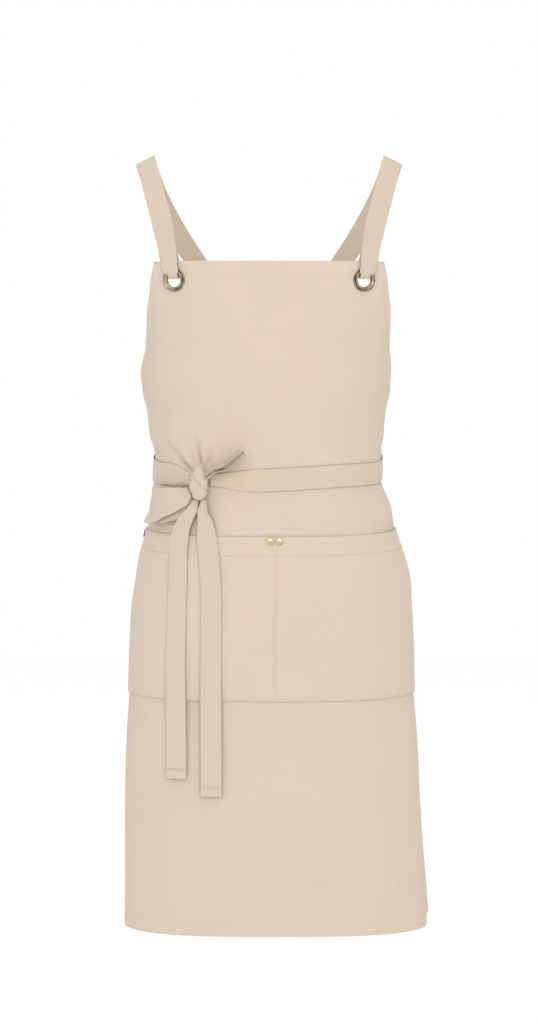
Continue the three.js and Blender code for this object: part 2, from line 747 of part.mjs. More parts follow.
function bowLoopLeft() {
  const layer = tieWall + 2 * gap;
  const rows = [{ ...offKnot(-0.75, 0.4, -0.45), width: tieThroatWidth * 0.85 }];
  const tip = leftLoop.find((row) => row.back > 0 && row.back < 1);
  for (const row of leftLoop) {
    const z = knotAt.at.z - row.down * bowDropLeft;
    const run = knotRun - row.away * bowReachLeft;
    const place = level(z, run, pocketFront + gap + row.layer * layer, tieWidth * row.width);
    const round = new THREE.Vector3(place.face.y, -place.face.x, 0).normalize();
    const face = row === tip ? round : place.face.multiplyScalar(row.back > 0 ? -1 : 1);
    rows.push({ at: place.at, face, width: tieWidth * row.width, wall: tieWall });
  }
  const end = offKnot(-0.78, -0.25, -0.55);
  rows.push({ ...end, face: end.face.clone().negate(), width: tieThroatWidth * 0.5 });
  return ribbon(rows, 40);
}

// Right loop: stands on edge, pointing up to the right. away, up and open are shares of
// bowReachRight: the loop's middle line from the knot's middle, and half its opening.
const rightLoop = [
  { away: 0.36, up: 0.3, open: 0.05 },
  { away: 0.58, up: 0.37, open: 0.05 },
  { away: 0.8, up: 0.54, open: 0.045 },
  { away: 0.93, up: 0.66, open: 0.035 },
];

function bowLoopRight() {
  const across = new THREE.Vector3(-0.6, 0, 0.8);
  const stack = panelWall + tieThroatWall + 6 * gap + tieWidth * 0.3;
  const place = (away, up) => {
    const at = knotAt.at.clone().add(new THREE.Vector3(away * bowReachRight, 0, up * bowReachRight));
    at.y = Math.min(onCloth(at.z, at.x, stack).at.y, knotAt.at.y - knotDepth * 0.2);
    return at;
  };
  const rows = [];
  const put = (at, sign, width) => rows.push({ at, face: across.clone().multiplyScalar(sign), width, wall: tieWall });
  put(offKnot(0.86, 0.42, 0.5).at.addScaledVector(knotSide, gap), 1, tieThroatWidth * 0.35);
  for (const row of rightLoop) {
    put(place(row.away, row.up).addScaledVector(across, row.open * bowReachRight), 1, tieWidth * 0.6);
  }
  const tip = place(1, 0.72);
  rows.push({ at: tip, face: new THREE.Vector3(0.8, 0, 0.6), width: tieWidth * 0.6, wall: tieWall });
  for (const row of [...rightLoop].reverse()) {
    put(place(row.away, row.up).addScaledVector(across, -row.open * bowReachRight), -1, tieWidth * 0.6);
  }
  put(offKnot(0.88, 0.5, 0.22).at.addScaledVector(knotSide, 2 * gap), -1, tieThroatWidth * 0.3);
  return ribbon(rows, 40);
}

// Tails: hang from the knot over the pocket. down is a share of the tail's length, over goes from
// the knot (0) to where the tail hangs (1), lifted from the pocket's face (0) to the knot (1).
const tailRoute = [
  { down: 0.04, over: 0.45, width: 0.5, lifted: 0.7 },
  { down: 0.08, over: 0.75, width: 0.75, lifted: 0.3 },
  { down: 0.14, over: 0.95, width: 0.95, lifted: 0.06 },
  { down: 0.3, over: 1.04, width: 0.95, lifted: 0 },
  { down: 0.6, over: 1.02, width: 0.95, lifted: 0 },
  { down: 0.82, over: 1, width: 0.95, lifted: 0 },
  { down: 1, over: 1, width: 0.95, lifted: 0 },
];

// The tails stand this much further apart at their feet than at the knot
const tailSpread = 3;

function tieTail(toSide, hangSide, length) {
  const start = offKnot(toSide, -0.2, -0.95);
  const rows = [{ ...start, width: tieThroatWidth * 0.5 }];
  const onPocket = pocketFront + 2 * gap + tieWall / 2;
  const drop = length - (knotAt.at.z - start.at.z);
  for (const row of tailRoute) {
    const z = start.at.z - row.down * drop;
    const spread = Math.sign(toSide) * tailSpread * (smooth(row.down / 0.55) - 1);
    const run = knotRun + hangSide * row.over + spread;
    const out = onPocket + (knotOut - onPocket) * row.lifted;
    rows.push({ ...onCloth(z, run, out), width: tieWidth * row.width, wall: tieWall });
  }
  return ribbon(rows, 34);
}

for (const [name, side] of [['left', -1], ['right', 1]]) {
  add(`shoulder_strap_${name}`, shoulderStrap(side), webbing);
  add(`waist_tie_${name}`, waistTie(side), webbing);
}
const bowKnot = add('bow_knot', knot(), webbing);
bowKnot.position.copy(knotAt.at);
bowKnot.rotation.z = Math.atan2(knotAt.face.y, knotAt.face.x) + Math.PI / 2;
add('bow_loop_left', bowLoopLeft(), webbing);
add('bow_loop_right', bowLoopRight(), webbing);
add('tie_tail_left', tieTail(-0.3, -tailHangLeft, tailLengthLeft), webbing);
add('tie_tail_right', tieTail(0.36, tailHangRight, tailLengthRight), webbing);

export default apron;
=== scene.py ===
"""Cross back apron, dressed: twill cloth, straps and ties, bow, eyelets and rivets, in metres."""

import logging
import math
import random
from dataclasses import dataclass, field
from enum import Enum
from typing import Callable, ClassVar, Iterable, Sequence

import bmesh
import bpy
import numpy as np
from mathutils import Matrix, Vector


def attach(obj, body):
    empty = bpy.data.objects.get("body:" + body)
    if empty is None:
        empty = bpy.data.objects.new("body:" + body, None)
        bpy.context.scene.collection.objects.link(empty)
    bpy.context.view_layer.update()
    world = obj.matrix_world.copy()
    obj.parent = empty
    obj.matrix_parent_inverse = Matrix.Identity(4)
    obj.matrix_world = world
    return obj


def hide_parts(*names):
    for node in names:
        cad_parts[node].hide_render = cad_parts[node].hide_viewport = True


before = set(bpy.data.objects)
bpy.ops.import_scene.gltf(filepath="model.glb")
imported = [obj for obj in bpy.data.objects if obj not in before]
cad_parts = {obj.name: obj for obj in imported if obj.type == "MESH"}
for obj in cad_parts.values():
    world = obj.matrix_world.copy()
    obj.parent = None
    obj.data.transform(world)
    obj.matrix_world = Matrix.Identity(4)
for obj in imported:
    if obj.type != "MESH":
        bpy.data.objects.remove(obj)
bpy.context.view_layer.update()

LOG = logging.getLogger("apron")


class Slot(Enum):
    """Material slots of the record."""

    CANVAS = "canvas"
    STRAP = "strap_cloth"
    EYELET = "eyelet_metal"
    RIVET = "rivet_metal"
    TAB = "tab_weave"


class Side(Enum):
    """The viewer's left and right."""

    LEFT = -1
    RIGHT = 1

    @property
    def word(self) -> str:
        """Name used in node names."""
        return self.name.lower()


def smooth(value: float | np.ndarray) -> float | np.ndarray:
    """Ease from 0 to 1, level at both ends.

    Args:
        value: the position, clamped to 0..1.

    Returns:
        The eased position.
    """
    held = np.clip(value, 0.0, 1.0)
    return held * held * (3.0 - 2.0 * held)


def bell(away: float | np.ndarray, spread: float) -> float | np.ndarray:
    """Bell curve of a distance: 1 at nought, fading over the spread."""
    return np.exp(-((away / spread) ** 2))


def along(rows: Sequence[tuple[float, ...]], column: int, key: float) -> float:
    """Read a smooth value from a table whose first column rises or falls steadily.

    Args:
        rows: the table, its first column being the key.
        column: the column wanted.
        key: the place in the table.

    Returns:
        The value between the rows.
    """
    rising = rows[-1][0] > rows[0][0]
    i = 0
    while i < len(rows) - 2 and (key > rows[i + 1][0] if rising else key < rows[i + 1][0]):
        i += 1
    a, b = rows[i], rows[i + 1]
    before, after = rows[max(0, i - 1)], rows[min(len(rows) - 1, i + 2)]
    span = b[0] - a[0]
    t = min(1.0, max(0.0, (key - a[0]) / span))
    slope_a = (b[column] - before[column]) / (b[0] - before[0]) * span
    slope_b = (after[column] - a[column]) / (after[0] - a[0]) * span
    t2, t3 = t * t, t * t * t
    return ((2 * t3 - 3 * t2 + 1) * a[column] + (t3 - 2 * t2 + t) * slope_a
            + (3 * t2 - 2 * t3) * b[column] + (t3 - t2) * slope_b)


@dataclass(frozen=True)
class Cut:
    """Sizes of the cut cloth and of what is fastened to it, in metres."""

    strap_rise: float = 0.137
    bib_height: float = 0.275
    skirt_length: float = 0.626
    bib_width: float = 0.314
    waist_span: float = 0.700
    skirt_width: float = 0.750
    wall: float = 0.0015
    bib_corner_radius: float = 0.007
    hem_width: float = 0.414
    hem_reach: float = 0.132
    hem_shift: float = 0.0097
    back_share: float = 0.9
    fold_height: float = 0.005
    pocket_drop: float = 0.090
    pocket_height: float = 0.2195
    pocket_side_rise: float = 0.004
    pocket_wall: float = 0.0014
    pocket_slack: float = 0.0016
    division_shift: float = 0.0046
    strap_width: float = 0.028
    strap_wall: float = 0.0015
    strap_throat: float = 0.0155
    strap_foldback: float = 0.017
    shoulder_span: float = 0.335
    shoulder_slope: float = math.radians(27)
    eyelet_spacing: float = 0.255
    eyelet_drop: float = 0.025
    eyelet_bore: float = 0.020
    eyelet_flange: float = 0.032
    eyelet_metal: float = 0.0009
    eyelet_painted_shade: float = 0.0017
    tie_width: float = 0.030
    tie_wall: float = 0.0012
    tie_throat: float = 0.016
    tie_throat_wall: float = 0.002
    knot_seat: float = 0.003
    tie_root_inset: float = 0.016
    band_drop: float = 0.009
    band_back_step: float = 0.017
    knot_offset: float = 0.0875
    knot_width: float = 0.026
    knot_height: float = 0.046
    knot_depth: float = 0.018
    knot_taper: float = 0.22
    tail_spread: float = 0.003
    bow_reach_left: float = 0.088
    bow_drop_left: float = 0.047
    bow_reach_right: float = 0.060
    tail_hang_left: float = 0.0398
    tail_hang_right: float = 0.0066
    tail_length_left: float = 0.395
    tail_length_right: float = 0.418
    rivet_cap: float = 0.0105
    rivet_rise: float = 0.0024
    rivet_pitch: float = 0.012
    rivet_drop: float = 0.006
    tab_length: float = 0.011
    tab_height: float = 0.010
    tab_wall: float = 0.001
    tab_drop: float = 0.003
    gap: float = 0.00035

    @property
    def bib_top(self) -> float:
        """Height of the bib's top edge."""
        return -self.strap_rise

    @property
    def waist(self) -> float:
        """Height of the waist corners."""
        return self.bib_top - self.bib_height

    @property
    def hem(self) -> float:
        """Height of the hem."""
        return self.waist - self.skirt_length

    @property
    def band(self) -> float:
        """Height of the middle of the waist ties at the side."""
        return self.waist - self.band_drop

    @property
    def eyelet_height(self) -> float:
        """Height of the eyelets' middles."""
        return self.bib_top - self.eyelet_drop

    @property
    def knot_z(self) -> float:
        """Height of the knot's middle."""
        return self.band - self.knot_height * 0.22

    @property
    def pocket_top(self) -> float:
        """Height of the pocket's top edge at the front."""
        return self.waist - self.pocket_drop

    @property
    def pocket_out(self) -> float:
        """Distance of the pocket's inner face from the panel's inner face."""
        return self.wall + 1.5 * self.gap

    @property
    def pocket_front(self) -> float:
        """Distance of the pocket's outer face from the panel's inner face."""
        return self.pocket_out + self.pocket_slack + self.pocket_wall


# Sections of the hollow that the cloth goes round: level, width, reach, shift, squareness
SECTIONS = (
    (1.0, 0.908, 0.848, 0.0, 2.6),
    (0.807, 0.889, 0.886, 0.0, 2.6),
    (0.575, 0.812, 0.902, -0.2, 2.6),
    (0.42, 0.818, 0.902, -0.45, 2.6),
    (0.273, 0.77, 0.894, -0.38, 2.5),
    (0.156, 0.755, 0.883, -0.38, 2.45),
    (0.025, 0.744, 0.868, -0.1, 2.4),
    (-0.04, 0.75, 0.864, -0.2, 2.4),
    (-0.09, 0.792, 0.897, 0.18, 2.45),
    (-0.14, 0.813, 0.92, 0.28, 2.5),
    (-0.193, 0.856, 0.937, 0.41, 2.55),
    (-0.246, 0.885, 0.947, 0.57, 2.6),
    (-0.3, 0.904, 0.951, 0.41, 2.65),
    (-0.404, 0.923, 0.955, 0.41, 2.75),
    (-0.511, 0.937, 0.962, 0.38, 2.85),
    (-0.591, 0.957, 0.97, 0.44, 2.9),
    (-0.696, 0.971, 0.977, 0.46, 3.0),
    (-0.831, 0.983, 0.989, 0.69, 3.1),
    (-1.0, 1.0, 1.0, 1.0, 3.2),
)
# Half outline of the cut from the bib top to the waist corner: down, out
ARMHOLE = ((0.0, 0.0), (0.19, 0.067), (0.42, 0.197), (0.57, 0.472), (0.74, 0.741), (0.88, 0.917), (1.0, 1.0))
# Soft folds: at, spread, low, high, rise
FOLDS = (
    (-0.475, 0.035, 0.05, 0.3, 0.75),
    (-0.355, 0.03, 0.05, 0.26, 0.6),
    (-0.62, 0.06, 0.06, 0.4, 0.7),
    (0.6, 0.07, 0.06, 0.42, 0.7),
    (0.02, 0.05, 0.04, 0.14, 0.3),
    (-0.19, 0.03, -0.2, -0.07, 0.5),
    (0.58, 0.06, -1.0, -0.16, 0.5),
    (0.88, 0.06, -1.0, -0.2, 1.3),
    (-0.6, 0.06, -1.0, -0.16, 0.5),
    (-0.9, 0.06, -1.0, -0.2, 1.3),
)
# Creases that run to the knot: angle in degrees, spread in degrees, first and last radius, rise
GATHERS = (
    (139.0, 4.0, 0.016, 0.088, -0.0062),
    (126.0, 6.0, 0.020, 0.080, 0.0034),
    (114.0, 4.0, 0.022, 0.060, -0.0014),
    (98.0, 3.2, 0.018, 0.074, -0.0058),
    (86.0, 5.0, 0.020, 0.064, 0.0018),
    (74.0, 3.4, 0.020, 0.062, -0.0036),
    (160.0, 7.0, 0.020, 0.060, 0.0012),
    (-38.0, 7.0, 0.020, 0.075, 0.0014),
    (-22.0, 6.0, 0.020, 0.060, -0.0010),
)


@dataclass(frozen=True)
class Spot:
    """A place on the cloth with its outward direction."""

    at: Vector
    face: Vector

    def turned(self) -> "Spot":
        """The same place facing the other way."""
        return Spot(self.at, -self.face)


class Form:
    """The rounded hollow that the cloth goes round, and the cloth's folds over it."""

    STEPS: ClassVar[int] = 720
    SEED: ClassVar[int] = 11
    RIPPLES: ClassVar[int] = 9
    RIPPLE_RISE: ClassVar[float] = 0.00016
    POCKET_SHARE: ClassVar[float] = 0.25
    POCKET_SETBACK: ClassVar[float] = 0.004

    def __init__(self, cut: Cut) -> None:
        """Keep the sizes and prepare the seeded ripples.

        Args:
            cut: the apron's sizes.
        """
        self.cut = cut
        self.outlines: dict[float, tuple[np.ndarray, float, float]] = {}
        rng = random.Random(self.SEED)
        self.ripples = [
            (rng.uniform(14, 60), rng.uniform(6, 40), rng.uniform(0, 6.28), rng.uniform(0, 6.28))
            for _ in range(self.RIPPLES)
        ]

    def level(self, z: float) -> float:
        """Height as a share of the bib above the waist, or of the skirt below it."""
        c = self.cut
        return (z - c.waist) / (c.bib_height if z > c.waist else c.skirt_length)

    def outline(self, z: float) -> tuple[np.ndarray, float, float]:
        """One level of the hollow.

        Args:
            z: the height.

        Returns:
            Columns x, y, nx, ny, run; the shift to one side; the whole length round.
        """
        key = round(z, 5)
        if key in self.outlines:
            return self.outlines[key]
        c = self.cut
        level = min(1.0, max(-1.0, self.level(z)))
        half = along(SECTIONS, 1, level) * c.hem_width / 2 - c.wall
        reach = along(SECTIONS, 2, level) * c.hem_reach - c.wall
        shift = along(SECTIONS, 3, level) * c.hem_shift
        power = along(SECTIONS, 4, level)
        turn = np.linspace(-math.pi / 2, 1.5 * math.pi, self.STEPS + 1)
        cosine, sine = np.cos(turn), np.sin(turn)
        depth = np.where(sine < 0, reach, reach * c.back_share)
        x = half * np.sign(cosine) * np.abs(cosine) ** (2 / power)
        y = depth * np.sign(sine) * np.abs(sine) ** (2 / power)
        nx = np.sign(x) * np.abs(x / half) ** (power - 1) / half
        ny = np.sign(y) * np.abs(y / depth) ** (power - 1) / depth
        size = np.hypot(nx, ny)
        run = np.concatenate(([0.0], np.cumsum(np.hypot(np.diff(x), np.diff(y)))))
        table = np.stack((x, y, nx / size, ny / size, run))
        self.outlines[key] = (table, shift, float(run[-1]))
        return self.outlines[key]

    def round(self, z: float) -> float:
        """Whole length round the hollow at a height."""
        return self.outline(z)[2]

    def row(self, z: float, runs: np.ndarray, out: np.ndarray | float) -> tuple[np.ndarray, np.ndarray]:
        """Points at one height.

        Args:
            z: the height.
            runs: distances round from the centre front.
            out: distances out from the hollow.

        Returns:
            The points, and their outward directions.
        """
        table, shift, length = self.outline(z)
        wanted = np.mod(runs, length)
        x, y, nx, ny = (np.interp(wanted, table[4], table[k]) for k in range(4))
        size = np.hypot(nx, ny)
        nx, ny = nx / size, ny / size
        flat = np.zeros_like(nx)
        points = np.stack((x + shift + out * nx, y + out * ny, np.full_like(nx, z)), axis=-1)
        return points, np.stack((nx, ny, flat), axis=-1)

    def flatness(self, z: float, runs: np.ndarray) -> np.ndarray:
        """How far the cloth is held out flat round the eyelets."""
        c = self.cut
        total = np.zeros_like(runs)
        if z < c.eyelet_height - 2 * c.eyelet_flange:
            return total
        here, _ = self.row(z, runs, 0.0)
        for side in (-1, 1):
            middle, face = self.row(c.eyelet_height, np.array([side * c.eyelet_spacing / 2]), 0.0)
            away = np.linalg.norm(here - middle[0], axis=-1) / c.eyelet_flange
            held = (1 - smooth((away - 0.65) / 0.75)) * (np.sign(runs) == side)
            total += held * ((middle[0] - here) @ face[0])
        return total

    def lift(self, z: float, runs: np.ndarray) -> np.ndarray:
        """How far the panel's inner face stands off the hollow, as in the solids."""
        c = self.cut
        level = self.level(z)
        share = runs / (c.skirt_width / 2)
        total = np.zeros_like(share)
        for at, spread, low, high, rise in FOLDS:
            across = bell(share - at, spread)
            top = smooth((high - level) / 0.08)
            bottom = 1.0 if low <= -1 else smooth((level - low) / 0.06)
            total += c.fold_height * rise * across * top * bottom
        at_back = smooth((np.abs(share) - 0.6) / 0.2)
        still = c.tie_width * 0.6 + c.band_back_step * 1.2 * at_back
        free = smooth((abs(z - c.band) - still) / c.tie_width)
        return total * free + self.flatness(z, runs)

    def crinkle(self, z: float, runs: np.ndarray) -> np.ndarray:
        """Fine unevenness of hanging cloth: low ripples and the gathers at the knot."""
        c = self.cut
        total = np.zeros_like(runs)
        for across, down, first, second in self.ripples:
            total += np.sin(runs * across + first + 1.3 * np.sin(z * down * 0.4)) * np.cos(z * down + second)
        quiet = smooth((abs(z - c.band) - c.tie_width * 0.6) / c.tie_width)
        total *= self.RIPPLE_RISE * (0.35 + 0.65 * quiet)
        dx, dz = runs + c.knot_offset, z - c.knot_z
        radius = np.hypot(dx, dz)
        angle = np.degrees(np.arctan2(dz, dx))
        for middle, spread, first, last, rise in GATHERS:
            turn = (angle - middle + 180) % 360 - 180
            reach = smooth((radius - first) / 0.012) * (1 - smooth((radius - 0.4 * last) / (0.6 * last)))
            total += rise * bell(turn, spread) * reach
        return total

    def spot(self, z: float, run: float, out: float, folded: bool = True) -> Spot:
        """One place on the cloth.

        Args:
            z: the height.
            run: the distance round from the centre front.
            out: the distance out from the panel's inner face.
            folded: whether the soft folds count.

        Returns:
            The place and its outward direction.
        """
        runs = np.array([run])
        extra = self.lift(z, runs) if folded else 0.0
        points, faces = self.row(z, runs, out + extra)
        return Spot(Vector(points[0]), Vector(faces[0]))

    def half_cut(self, z: float) -> float:
        """Half width of the cut cloth at a height, measured round the cloth."""
        c = self.cut
        corner = c.waist_span / 2
        if z >= c.waist:
            down = (c.bib_top - z) / c.bib_height
            return c.bib_width / 2 + (corner - c.bib_width / 2) * along(ARMHOLE, 1, down)
        return corner + (c.skirt_width / 2 - corner) * float(smooth((c.waist - z) / (c.skirt_length * 0.6)))

    def pocket_half(self, z: float) -> float:
        """Half width of the pocket at a height, measured round the cloth."""
        return self.round(z) * self.POCKET_SHARE - self.POCKET_SETBACK


def centripetal(points: Sequence[Vector], t: float) -> Vector:
    """Point on a centripetal Catmull-Rom line.

    Args:
        points: the points it passes through.
        t: the place on it, 0 to 1, even over the points.

    Returns:
        The point.
    """
    last = len(points) - 1
    place = t * last
    i = min(last - 1, int(place))
    w = place - i
    p1, p2 = points[i], points[i + 1]
    p0 = points[i - 1] if i > 0 else p1 * 2 - p2
    p3 = points[i + 2] if i + 2 <= last else p2 * 2 - p1
    d1 = max((p2 - p1).length ** 0.5, 1e-6)
    d0 = (p1 - p0).length ** 0.5 or d1
    d2 = (p3 - p2).length ** 0.5 or d1
    m1 = ((p1 - p0) / d0 - (p2 - p0) / (d0 + d1) + (p2 - p1) / d1) * d1
    m2 = ((p2 - p1) / d1 - (p3 - p1) / (d1 + d2) + (p3 - p2) / d2) * d1
    w2, w3 = w * w, w * w * w
    return p1 + m1 * w + (p1 * -3 + p2 * 3 - m1 * 2 - m2) * w2 + (p1 * 2 - p2 * 2 + m1 + m2) * w3


@dataclass
class Grid:
    """Closed wall made of two grids of points, with its cloth coordinates."""

    points: np.ndarray
    cloth: np.ndarray
    painted_shade: np.ndarray

    def to_object(self, name: str, material: bpy.types.Material) -> bpy.types.Object:
        """Turn the grid into an object.

        Args:
            name: the object's name.
            material: its finish.

        Returns:
            The object, linked to the scene.
        """
        _, rows, columns, _ = self.points.shape
        count = rows * columns
        base = (np.arange(rows - 1)[:, None] * columns + np.arange(columns - 1)[None, :]).ravel()
        inner = np.stack((base, base + 1, base + columns + 1, base + columns), axis=-1)
        outer = np.stack((base, base + columns, base + columns + 1, base + 1), axis=-1) + count
        top, side = np.arange(columns - 1), np.arange(rows - 1) * columns
        foot, far = top + (rows - 1) * columns, side + columns - 1
        rims = [
            np.stack((top, top + count, top + count + 1, top + 1), axis=-1),
            np.stack((foot, foot + 1, foot + 1 + count, foot + count), axis=-1),
            np.stack((side, side + columns, side + columns + count, side + count), axis=-1),
            np.stack((far, far + count, far + columns + count, far + columns), axis=-1),
        ]
        faces = np.concatenate([inner, outer, *rims]).tolist()
        return mesh_object(name, self.points.reshape(-1, 3), faces, material,
                           np.tile(self.cloth.reshape(-1, 2), (2, 1)), np.tile(self.painted_shade.ravel(), 2))


def mesh_object(name: str, points: np.ndarray, faces: Iterable[Sequence[int]], material: bpy.types.Material,
                cloth: np.ndarray | None = None, painted_shade: np.ndarray | None = None) -> bpy.types.Object:
    """Make a smooth-shaded object with its faces turned outwards.

    Args:
        name: the object's name.
        points: its points.
        faces: its faces, as point numbers.
        material: its finish.
        cloth: the points' places in the flat cloth, in metres.
        painted_shade: how strongly painted shade darkens each point near a seam, edge, groove or border, 0 to
            1.

    Returns:
        The object, linked to the scene.
    """
    mesh = bpy.data.meshes.new(name)
    mesh.from_pydata([tuple(p) for p in points.tolist()], [], [tuple(face) for face in faces])
    mesh.validate()
    if cloth is not None:
        layer = mesh.uv_layers.new(name="cloth")
        corners = np.empty(len(mesh.loops), dtype=np.int32)
        mesh.loops.foreach_get("vertex_index", corners)
        layer.data.foreach_set("uv", np.ascontiguousarray(cloth[corners], dtype=np.float32).ravel())
    if painted_shade is not None:
        attribute = mesh.attributes.new("painted_shade", "FLOAT", "POINT")
        attribute.data.foreach_set("value", np.ascontiguousarray(painted_shade, dtype=np.float32))
    shape = bmesh.new()
    shape.from_mesh(mesh)
    bmesh.ops.recalc_face_normals(shape, faces=shape.faces)
    shape.to_mesh(mesh)
    shape.free()
    mesh.shade_smooth()
    mesh.materials.append(material)
    piece = bpy.data.objects.new(name, mesh)
    bpy.context.scene.collection.objects.link(piece)
    return piece


def crisp(piece: bpy.types.Object, degrees: float = 50.0) -> None:
    """Keep a piece's sharp edges sharp under smooth shading."""
    limit = math.radians(degrees)
    shape = bmesh.new()
    shape.from_mesh(piece.data)
    for edge in shape.edges:
        edge.smooth = len(edge.link_faces) == 2 and edge.calc_face_angle(0.0) < limit
    shape.to_mesh(piece.data)
    shape.free()


class Bench:
    """Short ways to make and join the nodes of one tree."""

    def __init__(self, tree: bpy.types.NodeTree) -> None:
        """Keep the tree."""
        self.tree = tree

    @classmethod
    def material(cls, name: str) -> tuple[bpy.types.Material, "Bench", bpy.types.Node]:
        """A new node material, its bench and its surface shader."""
        made = bpy.data.materials.new(name)
        made.use_nodes = True
        return made, cls(made.node_tree), made.node_tree.nodes["Principled BSDF"]

    def fill(self, node: bpy.types.Node, inputs: dict[str | int, object]) -> bpy.types.Node:
        """Give a node's inputs their values, or join them to the given outputs of other nodes."""
        for key, value in inputs.items():
            if isinstance(value, bpy.types.NodeSocket):
                self.tree.links.new(value, node.inputs[key])
            else:
                node.inputs[key].default_value = value
        return node

    def make(self, kind: str, inputs: dict[str | int, object], **settings: object) -> bpy.types.Node:
        """Make a node.

        Args:
            kind: its type.
            inputs: the values of its inputs, or outputs of other nodes to join to them.
            settings: its other properties.

        Returns:
            The node.
        """
        node = self.tree.nodes.new(kind)
        for name, value in settings.items():
            setattr(node, name, value)
        return self.fill(node, inputs)

    def ramp(self, value: bpy.types.NodeSocket, *stops: tuple[float, Sequence[float]]) -> bpy.types.Node:
        """Colour ramp between two stops of position and colour."""
        node = self.make("ShaderNodeValToRGB", {"Fac": value})
        for element, (position, colour) in zip(node.color_ramp.elements, stops):
            element.position = position
            element.color = (*colour, 1)
        return node

    def weigh(self, *parts: tuple[bpy.types.Node, float]) -> bpy.types.Node:
        """Weighted sum of the values of several textures."""
        total: bpy.types.Node | None = None
        for texture, share in parts:
            before = 0.0 if total is None else total.outputs[0]
            total = self.make("ShaderNodeMath", {0: texture.outputs["Fac"], 1: share, 2: before},
                              operation="MULTIPLY_ADD")
        return total


@dataclass(frozen=True)
class TwillFinish:
    """Cotton twill: a fine diagonal weave with slubs and soft shade changes, darkened by painted shade along
    seams, edges, grooves and borders.
    """

    WEAVE_TURN: ClassVar[float] = math.radians(63)
    SLUB_SIZE: ClassVar[float] = 0.004
    CLOUD_SIZE: ClassVar[float] = 0.09
    PAINTED_SHADE_TINT: ClassVar[tuple[float, ...]] = (0.80, 0.78, 0.76, 1)
    name: str
    colour: tuple[float, float, float]
    rib: float = 0.0011
    relief: float = 0.00010
    shade: float = 0.05
    roughness: float = 0.92
    sheen: float = 0.06

    def build(self) -> bpy.types.Material:
        """Make the node material.

        Returns:
            The material.
        """
        material, bench, shader = Bench.material(self.name)
        cloth = bench.make("ShaderNodeUVMap", {}, uv_map="cloth")

        def pattern(kind: str, turn: float, pitch: float, **inputs: float) -> bpy.types.Node:
            """A band or noise texture laid on the flat cloth."""
            place = bench.make("ShaderNodeMapping", {"Rotation": (0, 0, turn), "Vector": cloth.outputs["UV"]})
            return bench.make(kind, {"Scale": 1 / pitch, "Vector": place.outputs["Vector"], **inputs})

        rib = pattern("ShaderNodeTexWave", self.WEAVE_TURN, self.rib * 6.28, Distortion=0.6, Detail=1.0)
        yarn = pattern("ShaderNodeTexWave", 0.0, self.rib * 3.1, Distortion=0.9)
        slub = pattern("ShaderNodeTexNoise", 0.0, self.SLUB_SIZE, Detail=5.0)
        cloud = pattern("ShaderNodeTexNoise", 0.4, self.CLOUD_SIZE, Detail=2.0)
        tone = bench.weigh((rib, 0.30), (yarn, 0.12), (slub, 0.40), (cloud, 0.28)).outputs[0]
        dark = [channel * (1 - self.shade) for channel in self.colour]
        light = [min(1.0, channel * (1 + self.shade)) for channel in self.colour]
        ramp = bench.ramp(tone, (0.25, dark), (0.75, light))
        # Painted shade: the per-point shade amount multiplies the twill by a grey tint along seams, edges,
        # grooves and pocket borders.
        painted_shade = bench.make("ShaderNodeAttribute", {}, attribute_name="painted_shade")
        seam = bench.make("ShaderNodeMixRGB", {"Color2": self.PAINTED_SHADE_TINT, "Fac": painted_shade.outputs["Fac"],
                                               "Color1": ramp.outputs["Color"]}, blend_type="MULTIPLY")
        bump = bench.make("ShaderNodeBump", {"Distance": self.relief, "Strength": 0.8, "Height": tone})
        bench.fill(shader, {"Roughness": self.roughness, "Sheen Weight": self.sheen, "Sheen Roughness": 0.6,
                            "Specular IOR Level": 0.25, "Base Color": seam.outputs["Color"],
                            "Normal": bump.outputs["Normal"]})
        return material


@dataclass(frozen=True)
class MetalFinish:
    """Plated brass: tarnish in cloudy patches and fine scratches."""

    PATCH_SCALE: ClassVar[float] = 150.0
    SCRATCH_SCALE: ClassVar[float] = 1800.0
    SCRATCH_DEPTH: ClassVar[float] = 0.00004
    name: str
    bright: tuple[float, float, float]
    dark: tuple[float, float, float]
    roughness: float = 0.34

    def build(self) -> bpy.types.Material:
        """Make the node material.

        Returns:
            The material.
        """
        material, bench, shader = Bench.material(self.name)
        place = bench.make("ShaderNodeTexCoord", {}).outputs["Object"]
        patch = bench.make("ShaderNodeTexNoise", {"Scale": self.PATCH_SCALE, "Detail": 4.0, "Vector": place})
        ramp = bench.ramp(patch.outputs["Fac"], (0.35, self.dark), (0.65, self.bright))
        gloss = bench.make("ShaderNodeMapRange", {
            "To Min": self.roughness + 0.12, "To Max": self.roughness - 0.08, "Value": patch.outputs["Fac"]})
        scratch = bench.make("ShaderNodeTexNoise", {"Scale": self.SCRATCH_SCALE, "Vector": place})
        bump = bench.make("ShaderNodeBump", {"Distance": self.SCRATCH_DEPTH, "Strength": 0.5,
                                             "Height": scratch.outputs["Fac"]})
        bench.fill(shader, {"Metallic": 1.0, "Base Color": ramp.outputs["Color"],
                            "Roughness": gloss.outputs["Result"], "Normal": bump.outputs["Normal"]})
        return material


@dataclass(frozen=True)
class ThreadFinish:
    """Sewing thread, a shade off the cloth, with a fine twist."""

    FIBRE_SCALE: ClassVar[float] = 3000.0
    name: str
    colour: tuple[float, float, float]

    def build(self) -> bpy.types.Material:
        """Make the node material.

        Returns:
            The material.
        """
        material, bench, shader = Bench.material(self.name)
        place = bench.make("ShaderNodeTexCoord", {})
        fibre = bench.make("ShaderNodeTexNoise", {
            "Scale": self.FIBRE_SCALE, "Vector": place.outputs["Object"]})
        dark = [channel * 0.85 for channel in self.colour]
        ramp = bench.ramp(fibre.outputs["Fac"], (0.0, dark), (1.0, self.colour))
        bench.fill(shader, {"Roughness": 0.75, "Base Color": ramp.outputs["Color"]})
        return material


@dataclass(frozen=True)
class Ring:
    """One row of a ribbon's path."""

    at: Vector
    face: Vector
    width: float
    wall: float


